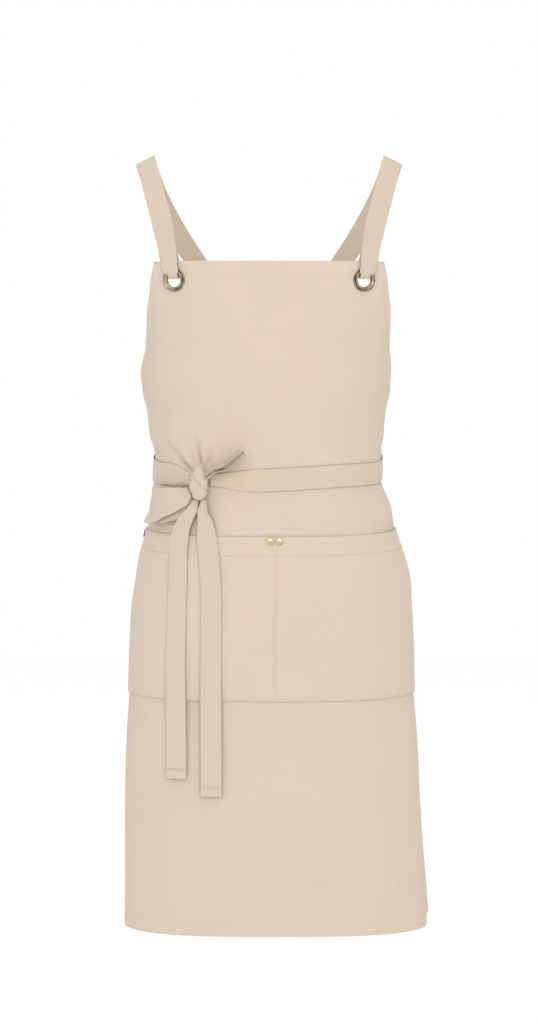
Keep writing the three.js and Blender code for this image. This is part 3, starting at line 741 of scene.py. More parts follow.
@dataclass
class Ribbon:
    """Folded strip of cloth along a path, with soft edges and pleats where it is held."""

    ACROSS: ClassVar[int] = 14
    # Painted shade: darkens the strip's long edges within EDGE_BAND, and a line at the hem seam.
    EDGE_BAND: ClassVar[float] = 0.0012
    EDGE_SHADE: ClassVar[float] = 0.5
    SEAM_SHADE: ClassVar[float] = 0.55
    SEAM_SPREAD: ClassVar[float] = 0.004
    SQUARENESS: ClassVar[int] = 7
    LOOK_AHEAD: ClassVar[float] = 0.0005
    name: str
    rings: list[Ring]
    steps: int
    pleats: Callable[[float, float], float] | None = None
    seam: float | None = None

    def frame_at(self, t: float) -> tuple[Vector, Vector, Vector, float, float]:
        """Centre, side, face, width and wall at a place on the path."""
        last = len(self.rings) - 1
        centre = self.middle(t)
        ahead = (self.middle(min(1.0, t + self.LOOK_AHEAD))
                 - self.middle(max(0.0, t - self.LOOK_AHEAD))).normalized()
        face = centripetal([ring.face for ring in self.rings], t)
        face = (face - ahead * face.dot(ahead)).normalized()
        i = min(last - 1, int(t * last))
        w = float(smooth(t * last - i))
        here, after = self.rings[i], self.rings[i + 1]
        width = here.width + (after.width - here.width) * w
        wall = here.wall + (after.wall - here.wall) * w
        return centre, ahead.cross(face), face, width, wall

    def middle(self, t: float) -> Vector:
        """Point on the path's middle line."""
        return centripetal([ring.at for ring in self.rings], t)

    def length(self) -> float:
        """Length of the path."""
        points = [self.middle(k / self.steps) for k in range(self.steps + 1)]
        return sum((b - a).length for a, b in zip(points, points[1:]))

    def build(self, material: bpy.types.Material) -> bpy.types.Object:
        """Make the ribbon's closed mesh.

        Args:
            material: its finish.

        Returns:
            The ribbon.
        """
        shares = [math.sin(math.pi * (k / self.ACROSS - 0.5)) for k in range(self.ACROSS + 1)]
        loop = [(c, 1.0) for c in shares] + [(c, -1.0) for c in reversed(shares[1:-1])]
        points, cloth, painted_shade = [], [], []
        run, before = 0.0, None
        for k in range(self.steps + 1):
            t = k / self.steps
            centre, side, face, width, wall = self.frame_at(t)
            run += (centre - before).length if before is not None else 0.0
            before = centre
            # Painted shade at the hem seam and along the long edges, kept per point for the twill.
            seam_shade = 0.0
            if self.seam is not None:
                seam_shade = self.SEAM_SHADE * float(bell(t - self.seam, self.SEAM_SPREAD))
            for c, sign in loop:
                edge = math.sqrt(max(0.0, 1 - abs(c) ** self.SQUARENESS)) * 0.5 * wall * sign
                pleat = self.pleats(t, c) if self.pleats else 0.0
                points.append(centre + side * (c * width / 2) + face * (edge + pleat))
                cloth.append((c * width / 2, run))
                edge_shade = max(0.0, 1 - (1 - abs(c)) * width / 2 / self.EDGE_BAND) * self.EDGE_SHADE
                painted_shade.append(max(edge_shade, seam_shade))
        ring = len(loop)
        faces: list[list[int]] = []
        for k in range(self.steps):
            for j in range(ring):
                a, b = k * ring + j, k * ring + (j + 1) % ring
                faces.append([a, b, b + ring, a + ring])
        for start in (0, self.steps * ring):
            for j in range(1, self.ACROSS):
                corners = [start + j, start + j + 1, start + (ring - j - 1) % ring, start + (ring - j) % ring]
                faces.append(corners if j < self.ACROSS - 1 else corners[:2] + corners[3:])
            faces.append([start, start + 1, start + ring - 1])
        return mesh_object(self.name, np.array([tuple(p) for p in points]), faces, material,
                           np.array(cloth), np.array(painted_shade))


def circle_points(centre: Vector, face: Vector, radius: float, count: int) -> list[Vector]:
    """Points on a circle square to a direction."""
    first = face.orthogonal().normalized()
    second = face.cross(first)
    return [centre + (first * math.cos(a) + second * math.sin(a)) * radius
            for a in (2 * math.pi * k / count for k in range(count))]


def turned_object(name: str, spot: Spot, profile: Sequence[tuple[float, float]], sides: int,
                  material: bpy.types.Material) -> bpy.types.Object:
    """Turned piece standing on the cloth.

    Args:
        name: the object's name.
        spot: its middle and axis.
        profile: a closed list of radius and height in metres; it may touch the axis.
        sides: points round.
        material: its finish.

    Returns:
        The piece.
    """
    points: list[Vector] = []
    rings: list[list[int]] = []
    for radius, height in profile:
        centre = spot.at + spot.face * height
        if radius < 1e-7:
            rings.append([len(points)] * sides)
            points.append(centre)
        else:
            rings.append(list(range(len(points), len(points) + sides)))
            points.extend(circle_points(centre, spot.face, radius, sides))
    faces: list[list[int]] = []
    pairs = list(zip(rings, rings[1:] + rings[:1]))
    for first, second in pairs:
        for k in range(sides):
            corner = [first[k], first[(k + 1) % sides], second[(k + 1) % sides], second[k]]
            kept = list(dict.fromkeys(corner))
            if len(kept) > 2:
                faces.append(kept)
    piece = mesh_object(name, np.array([tuple(p) for p in points]), faces, material)
    crisp(piece, 40.0)
    return piece


def arc(centre: tuple[float, float], radius: float, first: float, last: float, count: int,
        squash: float = 1.0) -> list[tuple[float, float]]:
    """Part of a circle in a turned profile, between two angles in degrees."""
    angles = [math.radians(first + (last - first) * k / count) for k in range(count + 1)]
    return [(centre[0] + radius * math.cos(a), centre[1] + radius * math.sin(a) * squash) for a in angles]


@dataclass
class Stitching:
    """Rows of sewing thread laid by Geometry Nodes along lines."""

    name: str
    thread: bpy.types.Material
    pitch: float = 0.0032
    length: float = 0.0022
    radius: float = 0.00022
    seed: int = 4
    lines: list[list[Vector]] = field(default_factory=list)

    def follow(self, line: Sequence[Vector]) -> None:
        """Add a line to be stitched."""
        self.lines.append(list(line))

    def build(self) -> bpy.types.Object:
        """Lay the stitches.

        Returns:
            One mesh with every stitch.
        """
        curve = bpy.data.curves.new(self.name + "_line", "CURVE")
        curve.dimensions = "3D"
        for line in self.lines:
            spline = curve.splines.new("POLY")
            spline.points.add(len(line) - 1)
            for point, place in zip(spline.points, line):
                point.co = (*place, 1.0)
        carrier = bpy.data.objects.new(self.name + "_line", curve)
        bpy.context.scene.collection.objects.link(carrier)
        group = self._group()
        modifier = carrier.modifiers.new("stitches", "NODES")
        modifier.node_group = group
        wanted = {"Pitch": self.pitch, "Stitch Length": self.length, "Thread Radius": self.radius,
                  "Seed": self.seed}
        for item in group.interface.items_tree:
            if item.item_type == "SOCKET" and item.in_out == "INPUT" and item.name in wanted:
                modifier[item.identifier] = wanted[item.name]
        bpy.context.view_layer.update()
        depsgraph = bpy.context.evaluated_depsgraph_get()
        mesh = bpy.data.meshes.new_from_object(carrier.evaluated_get(depsgraph), depsgraph=depsgraph)
        mesh.name = self.name
        piece = bpy.data.objects.new(self.name, mesh)
        bpy.context.scene.collection.objects.link(piece)
        bpy.data.objects.remove(carrier, do_unlink=True)
        if not mesh.materials:
            mesh.materials.append(self.thread)
        mesh.shade_smooth()
        return piece

    def _group(self) -> bpy.types.NodeTree:
        """Node group: resample the line, lay one slim bead per pitch, realise, set the thread."""
        group = bpy.data.node_groups.new(self.name, "GeometryNodeTree")
        face = group.interface
        face.new_socket(name="Line", in_out="INPUT", socket_type="NodeSocketGeometry")
        for label, kind, value in (("Pitch", "NodeSocketFloat", self.pitch),
                                   ("Stitch Length", "NodeSocketFloat", self.length),
                                   ("Thread Radius", "NodeSocketFloat", self.radius),
                                   ("Seed", "NodeSocketInt", self.seed)):
            face.new_socket(name=label, in_out="INPUT", socket_type=kind).default_value = value
        face.new_socket(name="Stitches", in_out="OUTPUT", socket_type="NodeSocketGeometry")
        bench = Bench(group)
        given = bench.make("NodeGroupInput", {}).outputs
        points = bench.make("GeometryNodeCurveToPoints", {"Curve": given["Line"], "Length": given["Pitch"]},
                            mode="LENGTH")
        bead = bench.make("GeometryNodeMeshUVSphere", {"Segments": 5, "Rings": 4, "Radius": 1.0})
        half = bench.make("ShaderNodeMath", {0: given["Stitch Length"], 1: 0.5}, operation="MULTIPLY")
        size = bench.make("ShaderNodeCombineXYZ", {"X": given["Thread Radius"], "Y": given["Thread Radius"],
                                                   "Z": half.outputs[0]})
        uneven = bench.make("FunctionNodeRandomValue", {}, data_type="FLOAT")
        bench.fill(uneven, {"Min": 0.88, "Max": 1.08, "Seed": given["Seed"]})
        scaled = bench.make("ShaderNodeVectorMath", {0: size.outputs[0], "Scale": uneven.outputs["Value"]},
                            operation="SCALE")
        align = bench.make("FunctionNodeAlignRotationToVector", {"Vector": points.outputs["Tangent"]},
                           axis="Z")
        lay = bench.make("GeometryNodeInstanceOnPoints", {
            "Points": points.outputs["Points"], "Instance": bead.outputs["Mesh"],
            "Rotation": align.outputs["Rotation"], "Scale": scaled.outputs[0]})
        real = bench.make("GeometryNodeRealizeInstances", {"Geometry": lay.outputs["Instances"]})
        dress = bench.make("GeometryNodeSetMaterial", {"Material": self.thread,
                                                       "Geometry": real.outputs["Geometry"]})
        bench.make("NodeGroupOutput", {"Stitches": dress.outputs["Geometry"]})
        return group


def seated(piece: bpy.types.Object, node: str, slot: Slot, replaces: bool = True) -> None:
    """Hand a finished piece to the frame.

    Args:
        piece: the piece.
        node: the node it stands for or belongs to.
        slot: its material slot.
        replaces: whether it takes the node's place.
    """
    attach(piece, "root")
    if replaces:
        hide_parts(node)
    LOG.info("%s: %d faces, slot %s, for %s", piece.name, len(piece.data.polygons), slot.value, node)


@dataclass
class Finishes:
    """Every finish of the apron, built once."""

    canvas: bpy.types.Material
    strap: bpy.types.Material
    tab: bpy.types.Material
    eyelet: bpy.types.Material
    rivet: bpy.types.Material
    thread: bpy.types.Material

    @classmethod
    def build(cls) -> "Finishes":
        """Make the finishes.

        Returns:
            The set.
        """
        return cls(
            canvas=TwillFinish("apron_twill", linear(200, 184, 167)).build(),
            strap=TwillFinish("strap_twill", linear(197, 181, 163), rib=0.0010).build(),
            tab=TwillFinish("tab_twill", linear(62, 48, 40), rib=0.0008, shade=0.15).build(),
            eyelet=MetalFinish("antique_brass", linear(182, 169, 143), linear(118, 105, 84)).build(),
            rivet=MetalFinish("polished_brass", linear(222, 212, 184), linear(176, 162, 128),
                              roughness=0.24).build(),
            thread=ThreadFinish("apron_thread", linear(200, 184, 165)).build(),
        )


def linear(red: int, green: int, blue: int) -> tuple[float, float, float]:
    """Linear colour from the usual 0 to 255 values."""
    return tuple((v / 255 / 12.92) if v / 255 <= 0.04045 else ((v / 255 + 0.055) / 1.055) ** 2.4
                 for v in (red, green, blue))


def crowded(low: float, high: float, count: int, middle: float, spread: float, extra: float) -> np.ndarray:
    """Steadily rising places that lie closer together round a middle.

    Args:
        low: the first place.
        high: the last place.
        count: the number of steps.
        middle: where the places are closest.
        spread: how far the crowding reaches.
        extra: how much closer they lie there.

    Returns:
        The places.
    """
    fine = np.linspace(low, high, 4001)
    density = 1 + extra * bell(fine - middle, spread)
    total = np.concatenate(([0.0], np.cumsum((density[1:] + density[:-1]) / 2)))
    return np.interp(np.linspace(0, total[-1], count + 1), total, fine)


@dataclass
class Panel:
    """Bib and skirt in one piece of cloth, with its hems, crinkles and holes."""

    SIDE_HEM: ClassVar[float] = 0.010
    END_HEM: ClassVar[float] = 0.018
    EDGE_ROWS: ClassVar[tuple[float, ...]] = (0.0006, 0.0012, 0.0180, 0.0188)
    HEM_RISE: ClassVar[float] = 0.0005
    EDGE_DROP: ClassVar[float] = 0.0004
    SEAM_DROP: ClassVar[float] = 0.00035
    # Painted shade along the inner edge of each hem.
    SEAM_SHADE: ClassVar[float] = 0.15
    SEAM_SPREAD: ClassVar[float] = 0.05
    SEAM_AT: ClassVar[float] = 0.86
    HEM_EASE: ClassVar[float] = 0.10
    EDGE_EASE: ClassVar[float] = 0.12
    INNER_RELIEF: ClassVar[float] = 0.25
    CALM_SIDE: ClassVar[float] = 0.02
    CORNER_ROWS: ClassVar[int] = 5
    CORNER_FADE: ClassVar[float] = 0.0013
    CREASES_OVER_BAND: ClassVar[float] = 0.03
    ROW_CROWD: ClassVar[tuple[float, float]] = (0.05, 2.2)
    COLUMN_CROWD: ClassVar[tuple[float, float]] = (0.14, 2.4)
    COLUMNS: ClassVar[int] = 214
    ROWS: ClassVar[int] = 204
    DRILL_REACH: ClassVar[float] = 0.01
    DRILL_SIDES: ClassVar[int] = 48
    form: Form
    finishes: Finishes

    def heights(self) -> list[float]:
        """Heights of the rows, closer together at the hems and at the creases over the knot."""
        c = self.form.cut
        crowd = crowded(c.hem, c.bib_top, self.ROWS, c.band + self.CREASES_OVER_BAND, *self.ROW_CROWD)
        heights = [float(height) for height in crowd]
        for edge, step in ((c.bib_top, -1), (c.hem, 1)):
            heights += [edge + step * d for d in self.EDGE_ROWS]
        return sorted(set(round(h, 6) for h in heights), reverse=True)

    def hem_relief(self, z: float, runs: np.ndarray, half: float) -> tuple[np.ndarray, np.ndarray]:
        """Raised hem strips, and the painted shade along each hem's inner edge."""
        c = self.form.cut
        step = 0.002
        slope = abs(self.form.half_cut(z - step) - self.form.half_cut(z + step)) / (2 * step)
        from_side = (half - np.abs(runs)) / math.hypot(1.0, slope)
        from_end = min(z - c.hem, c.bib_top - z)
        depth = np.minimum(from_side / self.SIDE_HEM, from_end / self.END_HEM)
        flat = smooth((1.0 - depth) / self.HEM_EASE)
        soft = smooth(depth / self.EDGE_EASE)
        relief = (self.HEM_RISE * flat - self.EDGE_DROP * (1 - soft)
                  - self.SEAM_DROP * bell(depth - self.SEAM_AT, self.SEAM_SPREAD))
        return relief, self.SEAM_SHADE * bell(depth - 1.0, self.SEAM_SPREAD)

    def build(self) -> bpy.types.Object:
        """Make the panel.

        Returns:
            The panel.
        """
        c, form = self.form.cut, self.form
        heights = self.heights()
        knot_share = -c.knot_offset / (c.waist_span / 2)
        w = crowded(-1.0, 1.0, self.COLUMNS, knot_share, *self.COLUMN_CROWD)
        faces = np.zeros((2, len(heights), len(w), 3))
        cloth = np.zeros((len(heights), len(w), 2))
        painted_shade = np.zeros((len(heights), len(w)))
        radius = c.bib_corner_radius
        for j, plain in enumerate(heights):
            half = form.half_cut(plain)
            runs = w * half
            # seam holds the painted shade along the hems' inner edges.
            relief, seam = self.hem_relief(plain, runs, half)
            calm = smooth((half - np.abs(runs)) / self.CALM_SIDE)
            lift = form.lift(plain, runs) + form.crinkle(plain, runs) * calm
            inner, _ = form.row(plain, runs, lift + self.INNER_RELIEF * relief)
            outer, _ = form.row(plain, runs, lift + c.wall + relief)
            corner = np.maximum(0.0, radius * 2 - (half - np.abs(runs)))
            drop = corner * corner / (radius * 4) if j < self.CORNER_ROWS else np.zeros_like(runs)
            fade = max(0.0, 1 - (c.bib_top - plain) / self.CORNER_FADE) if j else 1.0
            for layer, points in enumerate((inner, outer)):
                points[:, 2] -= drop * fade
                faces[layer, j] = points
            cloth[j, :, 0] = runs
            cloth[j, :, 1] = plain
            painted_shade[j] = seam
        piece = Grid(faces, cloth, painted_shade).to_object("panel_cloth", self.finishes.canvas)
        self.cut_holes(piece)
        return piece

    def cut_holes(self, piece: bpy.types.Object) -> None:
        """Cut the eyelets' round holes through the cloth."""
        c = self.form.cut
        for side in Side:
            spot = self.form.spot(c.eyelet_height, side.value * c.eyelet_spacing / 2, c.wall / 2)
            radius = c.eyelet_bore / 2 + c.eyelet_metal + c.gap
            reach = self.DRILL_REACH
            profile = [(0, -reach), (radius, -reach), (radius, reach), (0, reach)]
            drill = turned_object("drill", spot, profile, self.DRILL_SIDES, self.finishes.canvas)
            cut = piece.modifiers.new("hole", "BOOLEAN")
            cut.operation = "DIFFERENCE"
            cut.solver = "EXACT"
            cut.object = drill
            bpy.context.view_layer.update()
            depsgraph = bpy.context.evaluated_depsgraph_get()
            mesh = bpy.data.meshes.new_from_object(piece.evaluated_get(depsgraph), depsgraph=depsgraph)
            piece.modifiers.remove(cut)
            piece.data = mesh
            bpy.data.objects.remove(drill, do_unlink=True)

    def dress(self, piece: bpy.types.Object) -> None:
        """Hand the panel over."""
        seated(piece, "apron_panel", Slot.CANVAS)


@dataclass
class Pocket:
    """Wide front pocket, sewn at its sides, foot and centre, slack between."""

    EXTRA_ROWS: ClassVar[tuple[float, ...]] = (0.002, 0.004, 0.1, 0.104, 0.108, 0.112, 0.998)
    HEM: ClassVar[float] = 0.0245
    HEM_FOOT: ClassVar[float] = 0.024
    HEM_EASE: ClassVar[float] = 0.003
    HEM_RISE: ClassVar[float] = 0.0001
    HEM_SEAM: ClassVar[float] = 0.0011
    GROOVE: ClassVar[float] = 0.0012
    GROOVE_DROP: ClassVar[float] = 0.0002
    BESIDE_GROOVE: ClassVar[float] = 2.4
    BESIDE_RISE: ClassVar[float] = 0.000036
    SIDE_BORDER: ClassVar[float] = 0.004
    FOOT_BORDER: ClassVar[float] = 0.0035
    BORDER_DROP: ClassVar[float] = 0.0004
    RIPPLE: ClassVar[float] = 0.00022
    CALM_TOP: ClassVar[float] = 0.02
    INNER_RELIEF: ClassVar[float] = 0.3
    # Painted shade in the centre groove, along the hem seam and round the sewn sides and foot.
    GROOVE_SHADE: ClassVar[float] = 0.04
    SEAM_SHADE: ClassVar[float] = 0.02
    BORDER_SHADE: ClassVar[float] = 0.3
    WEAVE_SHIFT: ClassVar[float] = 0.31
    TWIN: ClassVar[float] = 0.0022
    HEM_LINE: ClassVar[float] = 0.985
    DIVISION_LINE: ClassVar[tuple[float, float]] = (0.02, 0.965)
    THREAD_OUT: ClassVar[float] = 0.00035
    COLUMNS: ClassVar[int] = 230
    ROWS: ClassVar[int] = 90
    DIVISION_COLUMNS: ClassVar[int] = 17
    THREAD_STEPS: ClassVar[tuple[int, int]] = (160, 60)
    form: Form
    finishes: Finishes

    def place(self, run: float, v: float, out: float) -> Spot:
        """A place on the pocket.

        Args:
            run: the distance round from the centre front.
            v: the share of the pocket's height below its top edge.
            out: the distance out from the pocket's inner face.

        Returns:
            The place and its outward direction.
        """
        c = self.form.cut
        across = run / self.form.pocket_half(c.pocket_top)
        z = c.pocket_top + c.pocket_side_rise * min(1.0, abs(across)) ** 4 - v * c.pocket_height
        return self.form.spot(z, run, c.pocket_out + self.slack(run, v, z) + out)

    def slack(self, run: float | np.ndarray, v: float, z: float) -> float | np.ndarray:
        """How far the pocket bellies off the panel."""
        c = self.form.cut
        from_division = np.abs(run - c.division_shift) - c.rivet_pitch
        from_side = self.form.pocket_half(z) - np.abs(run)
        sewn = np.minimum(from_division, from_side) / c.pocket_height
        return c.pocket_slack * smooth(sewn * 4) * smooth((1 - v) * 3) * (0.4 + 0.6 * smooth(v * 5))

    def relief(self, run: float, v: float, half: float) -> tuple[float, float]:
        """Hem, grooves and ripples of the outer face.

        Args:
            run: the distance round from the centre front.
            v: the share of the pocket's height below its top edge.
            half: half the pocket's width here.

        Returns:
            How far the face rises, and how much painted shade darkens it in the groove, along the hem seam
            and at the sewn borders.
        """
        c = self.form.cut
        below = v * c.pocket_height
        hem = self.HEM_RISE * float(smooth((self.HEM_FOOT - below) / self.HEM_EASE))
        seam = float(bell(below - self.HEM, self.HEM_SEAM))
        from_division = abs(run - c.division_shift) / self.GROOVE
        groove = float(bell(from_division, 1.0))
        beside = float(bell(from_division - self.BESIDE_GROOVE, 1.0))
        sides = (half - abs(run)) / self.SIDE_BORDER
        foot = (1 - v) * c.pocket_height / self.FOOT_BORDER
        border = float(bell(min(sides, foot), 1.0))
        calm = min(below, self.CALM_TOP) / self.CALM_TOP
        ripple = self.RIPPLE * math.sin(run * 46 + 1.1) * math.sin(v * 7 + run * 9) * calm
        rise = (hem + ripple - self.GROOVE_DROP * groove + self.BESIDE_RISE * beside
                - self.BORDER_DROP * border)
        return rise, max(self.GROOVE_SHADE * groove, self.SEAM_SHADE * seam, self.BORDER_SHADE * border)

    def build(self) -> bpy.types.Object:
        """Make the pocket.

        Returns:
            The pocket.
        """
        c, form = self.form.cut, self.form
        w = np.linspace(-1, 1, self.COLUMNS + 1)
        division = c.division_shift / form.pocket_half(c.pocket_top)
        w = np.sort(np.concatenate((w, division + np.linspace(-0.012, 0.012, self.DIVISION_COLUMNS))))
        down = np.concatenate((np.linspace(0, 1, self.ROWS + 1), self.EXTRA_ROWS))
        down = np.unique(np.round(down, 5))
        faces = np.zeros((2, len(down), len(w), 3))
        cloth = np.zeros((len(down), len(w), 2))
        painted_shade = np.zeros((len(down), len(w)))
        for j, v in enumerate(down):
            top = c.pocket_top - v * c.pocket_height
            half = form.pocket_half(top)
            for i, share in enumerate(w):
                z = top + c.pocket_side_rise * share ** 4
                runs = np.array([share * half])
                rise, painted_shade[j, i] = self.relief(runs[0], v, half)
                lift = form.lift(z, runs) + c.pocket_out + self.slack(runs[0], v, top)
                inner, _ = form.row(z, runs, lift + min(0.0, rise) * self.INNER_RELIEF)
                outer, _ = form.row(z, runs, lift + c.pocket_wall + rise)
                faces[0, j, i], faces[1, j, i] = inner[0], outer[0]
                cloth[j, i] = (runs[0] + self.WEAVE_SHIFT, z)
        return Grid(faces, cloth, painted_shade).to_object("pocket_cloth", self.finishes.canvas)

    def dress(self, piece: bpy.types.Object) -> None:
        """Hand the pocket over."""
        c = self.form.cut
        seated(piece, "front_pocket", Slot.CANVAS)
        2 * self.form.pocket_half(c.pocket_top)

    def seams(self) -> list[list[Vector]]:
        """Lines of the pocket's stitches: the top hem and either side of the centre seam."""
        c = self.form.cut
        half = self.form.pocket_half(c.pocket_top)
        front = c.pocket_wall + self.THREAD_OUT
        level, upright = self.THREAD_STEPS
        end, hem = self.HEM_LINE, self.HEM / c.pocket_height
        lines = [[self.place(half * (end - 2 * end * k / level), hem, front).at for k in range(level + 1)]]
        first, span = self.DIVISION_LINE
        for shift in (-self.TWIN, self.TWIN):
            lines.append([self.place(c.division_shift + shift, first + span * k / upright, front).at
                          for k in range(upright + 1)])
        return lines


@dataclass
class Eyelet:
    """Metal eyelet through the bib: two flanges and a rolled inner lip."""

    SIDES: ClassVar[int] = 72
    ROLL: ClassVar[float] = 0.0014
    BEAD: ClassVar[float] = 0.0009
    form: Form
    finishes: Finishes
    side: Side

    def build(self) -> bpy.types.Object:
        """Make the eyelet.

        Returns:
            The eyelet.
        """
        c = self.form.cut
        bore, flange = c.eyelet_bore / 2, c.eyelet_flange / 2
        barrel = bore + c.eyelet_metal
        seat = c.wall / 2 + 2 * c.gap
        back, rear = -seat - c.eyelet_metal, flange * 0.94
        profile = [(bore, back), (rear, back), (rear, -seat), (barrel, -seat), (barrel, seat),
                   (flange - 0.0004, seat)]
        profile += arc((flange - self.BEAD, seat + 0.0002), self.BEAD, 0, 150, 8)
        profile += [(flange - 0.0024, seat + 0.0003), (bore + 2 * self.ROLL + 0.0003, seat + 0.0002)]
        profile += arc((bore + self.ROLL, seat + 0.0009), self.ROLL, -10, 180, 14)
        spot = self.form.spot(c.eyelet_height, self.side.value * c.eyelet_spacing / 2, c.wall / 2)
        name = f"eyelet_metal_{self.side.word}"
        return turned_object(name, spot, profile, self.SIDES, self.finishes.eyelet)

    def dress(self, piece: bpy.types.Object) -> None:
        """Hand the eyelet over."""
        seated(piece, f"eyelet_{self.side.word}", Slot.EYELET)


@dataclass
class Rivet:
    """Domed rivet with a washer inside the cloth."""

    SIDES: ClassVar[int] = 48
    POST: ClassVar[float] = 0.0015
    SHOULDER: ClassVar[float] = 0.0007
    DOME_STEPS: ClassVar[int] = 8
    form: Form
    finishes: Finishes
    side: Side

    def build(self) -> bpy.types.Object:
        """Make the rivet.

        Returns:
            The rivet.
        """
        c = self.form.cut
        cap, rise, washer = c.rivet_cap / 2, c.rivet_rise, c.rivet_cap / 2 * 0.85
        low = -(c.pocket_wall + c.pocket_out + 2 * c.gap)
        profile = [(0, low - 0.001), (washer, low - 0.001), (washer, low), (self.POST, low),
                   (self.POST, c.gap), (cap - 0.0003, c.gap), (cap, c.gap + 0.0003),
                   (cap, c.gap + self.SHOULDER)]
        for k in range(1, self.DOME_STEPS):
            turn = math.radians(90 * k / self.DOME_STEPS)
            profile.append(((cap - 0.0002) * math.cos(turn),
                            c.gap + self.SHOULDER + (rise - self.SHOULDER) * math.sin(turn)))
        profile.append((0.0, c.gap + rise))
        run = c.division_shift + self.side.value * c.rivet_pitch / 2
        spot = self.form.spot(c.pocket_top - c.rivet_drop, run, c.pocket_out + c.pocket_wall)
        return turned_object(f"rivet_cap_{self.side.word}", spot, profile, self.SIDES, self.finishes.rivet)

    def dress(self, piece: bpy.types.Object) -> None:
        """Hand the rivet over."""
        seated(piece, f"pocket_rivet_{self.side.word}", Slot.RIVET)


@dataclass
class SideTab:
    """Small dark woven tab sewn flat at the pocket's top corner."""

    COLUMNS: ClassVar[int] = 24
    ROWS: ClassVar[int] = 18
    EDGE_DROP: ClassVar[float] = 0.0003
    form: Form
    finishes: Finishes

    def build(self) -> bpy.types.Object:
        """Make the tab.

        Returns:
            The tab.
        """
        c, form = self.form.cut, self.form
        columns, rows = self.COLUMNS, self.ROWS
        faces = np.zeros((2, rows + 1, columns + 1, 3))
        cloth = np.zeros((rows + 1, columns + 1, 2))
        painted_shade = np.zeros((rows + 1, columns + 1))
        for j in range(rows + 1):
            for i in range(columns + 1):
                u, v = i / columns, j / rows
                z = c.pocket_top + c.pocket_side_rise - c.tab_drop - v * c.tab_height
                run = -form.pocket_half(z) + 0.001 + u * c.tab_length
                edge = min(u, 1 - u, v, 1 - v)
                thick = c.tab_wall - self.EDGE_DROP * (1 - float(smooth(edge / 0.12)))
                for layer, out in ((0, 0.0), (1, thick)):
                    faces[layer, j, i] = form.spot(z, run, c.pocket_out + c.pocket_wall + 2 * c.gap + out).at
                cloth[j, i] = (u * c.tab_length, v * c.tab_height)
        return Grid(faces, cloth, painted_shade).to_object("tab_cloth", self.finishes.tab)

    def dress(self, piece: bpy.types.Object) -> None:
        """Hand the tab over."""
        seated(piece, "pocket_side_tab", Slot.TAB)


# Shoulder strap from the bib to the shoulder: out, forward, down
STRAP_FRONT = ((0.2, 0.7, 0.66), (0.5, 0.46, 0.4), (0.79, 0.2, 0.16), (1.0, -0.06, 0.012))
# Shoulder strap down the back: out, behind, down
STRAP_BACK = ((0.985, 0.36, 0.035), (0.91, 0.62, 0.12), (0.74, 0.8, 0.25), (0.5, 0.91, 0.4),
              (0.24, 0.97, 0.56))
# Where the straps cross, as a share of the way down to the waist
CROSS_SHARE = 0.7
# Waist tie from its root: share of a whole turn, share of the step that it runs lower
TIE_ROUTE = ((0.0, 1.15), (0.045, 1.05), (0.1, 0.2), (0.16, -0.75), (0.24, -0.85), (0.32, -0.45),
             (0.4, 0.0), (0.5, 0.1), (0.6, 0.35), (0.75, 0.6))
# Left loop: away, down, layer, width, back
LEFT_LOOP = ((0.3, 0.42, 4.0, 0.95, 0.0), (0.55, 0.56, 4.8, 1.3, 0.0), (0.77, 0.67, 4.6, 1.6, 0.0),
             (0.87, 0.71, 3.8, 1.7, 0.0), (0.9, 0.73, 2.9, 1.6, 0.5), (0.83, 0.75, 2.2, 1.42, 1.0),
             (0.7, 0.78, 1.8, 1.35, 1.0), (0.5, 0.76, 1.0, 1.1, 1.0), (0.3, 0.7, 1.2, 0.7, 1.0))
# Right loop: away, up, open
RIGHT_LOOP = ((0.36, 0.3, 0.05), (0.58, 0.37, 0.05), (0.8, 0.54, 0.045), (0.93, 0.66, 0.035))
# Tails: down, over, width, lifted
TAIL_ROUTE = ((0.04, 0.45, 0.5, 0.7), (0.08, 0.75, 0.75, 0.3), (0.14, 0.95, 0.95, 0.06),
              (0.3, 1.04, 0.95, 0.0), (0.6, 1.02, 0.95, 0.0), (0.82, 1.0, 0.95, 0.0), (1.0, 1.0, 0.95, 0.0))
# Creases of the knot: height, slope, spread, depth
KNOT_CREASES = ((-0.45, 0.35, 0.1, 0.13), (0.12, -0.6, 0.075, 0.2), (0.51, 0.3, 0.1, 0.14))


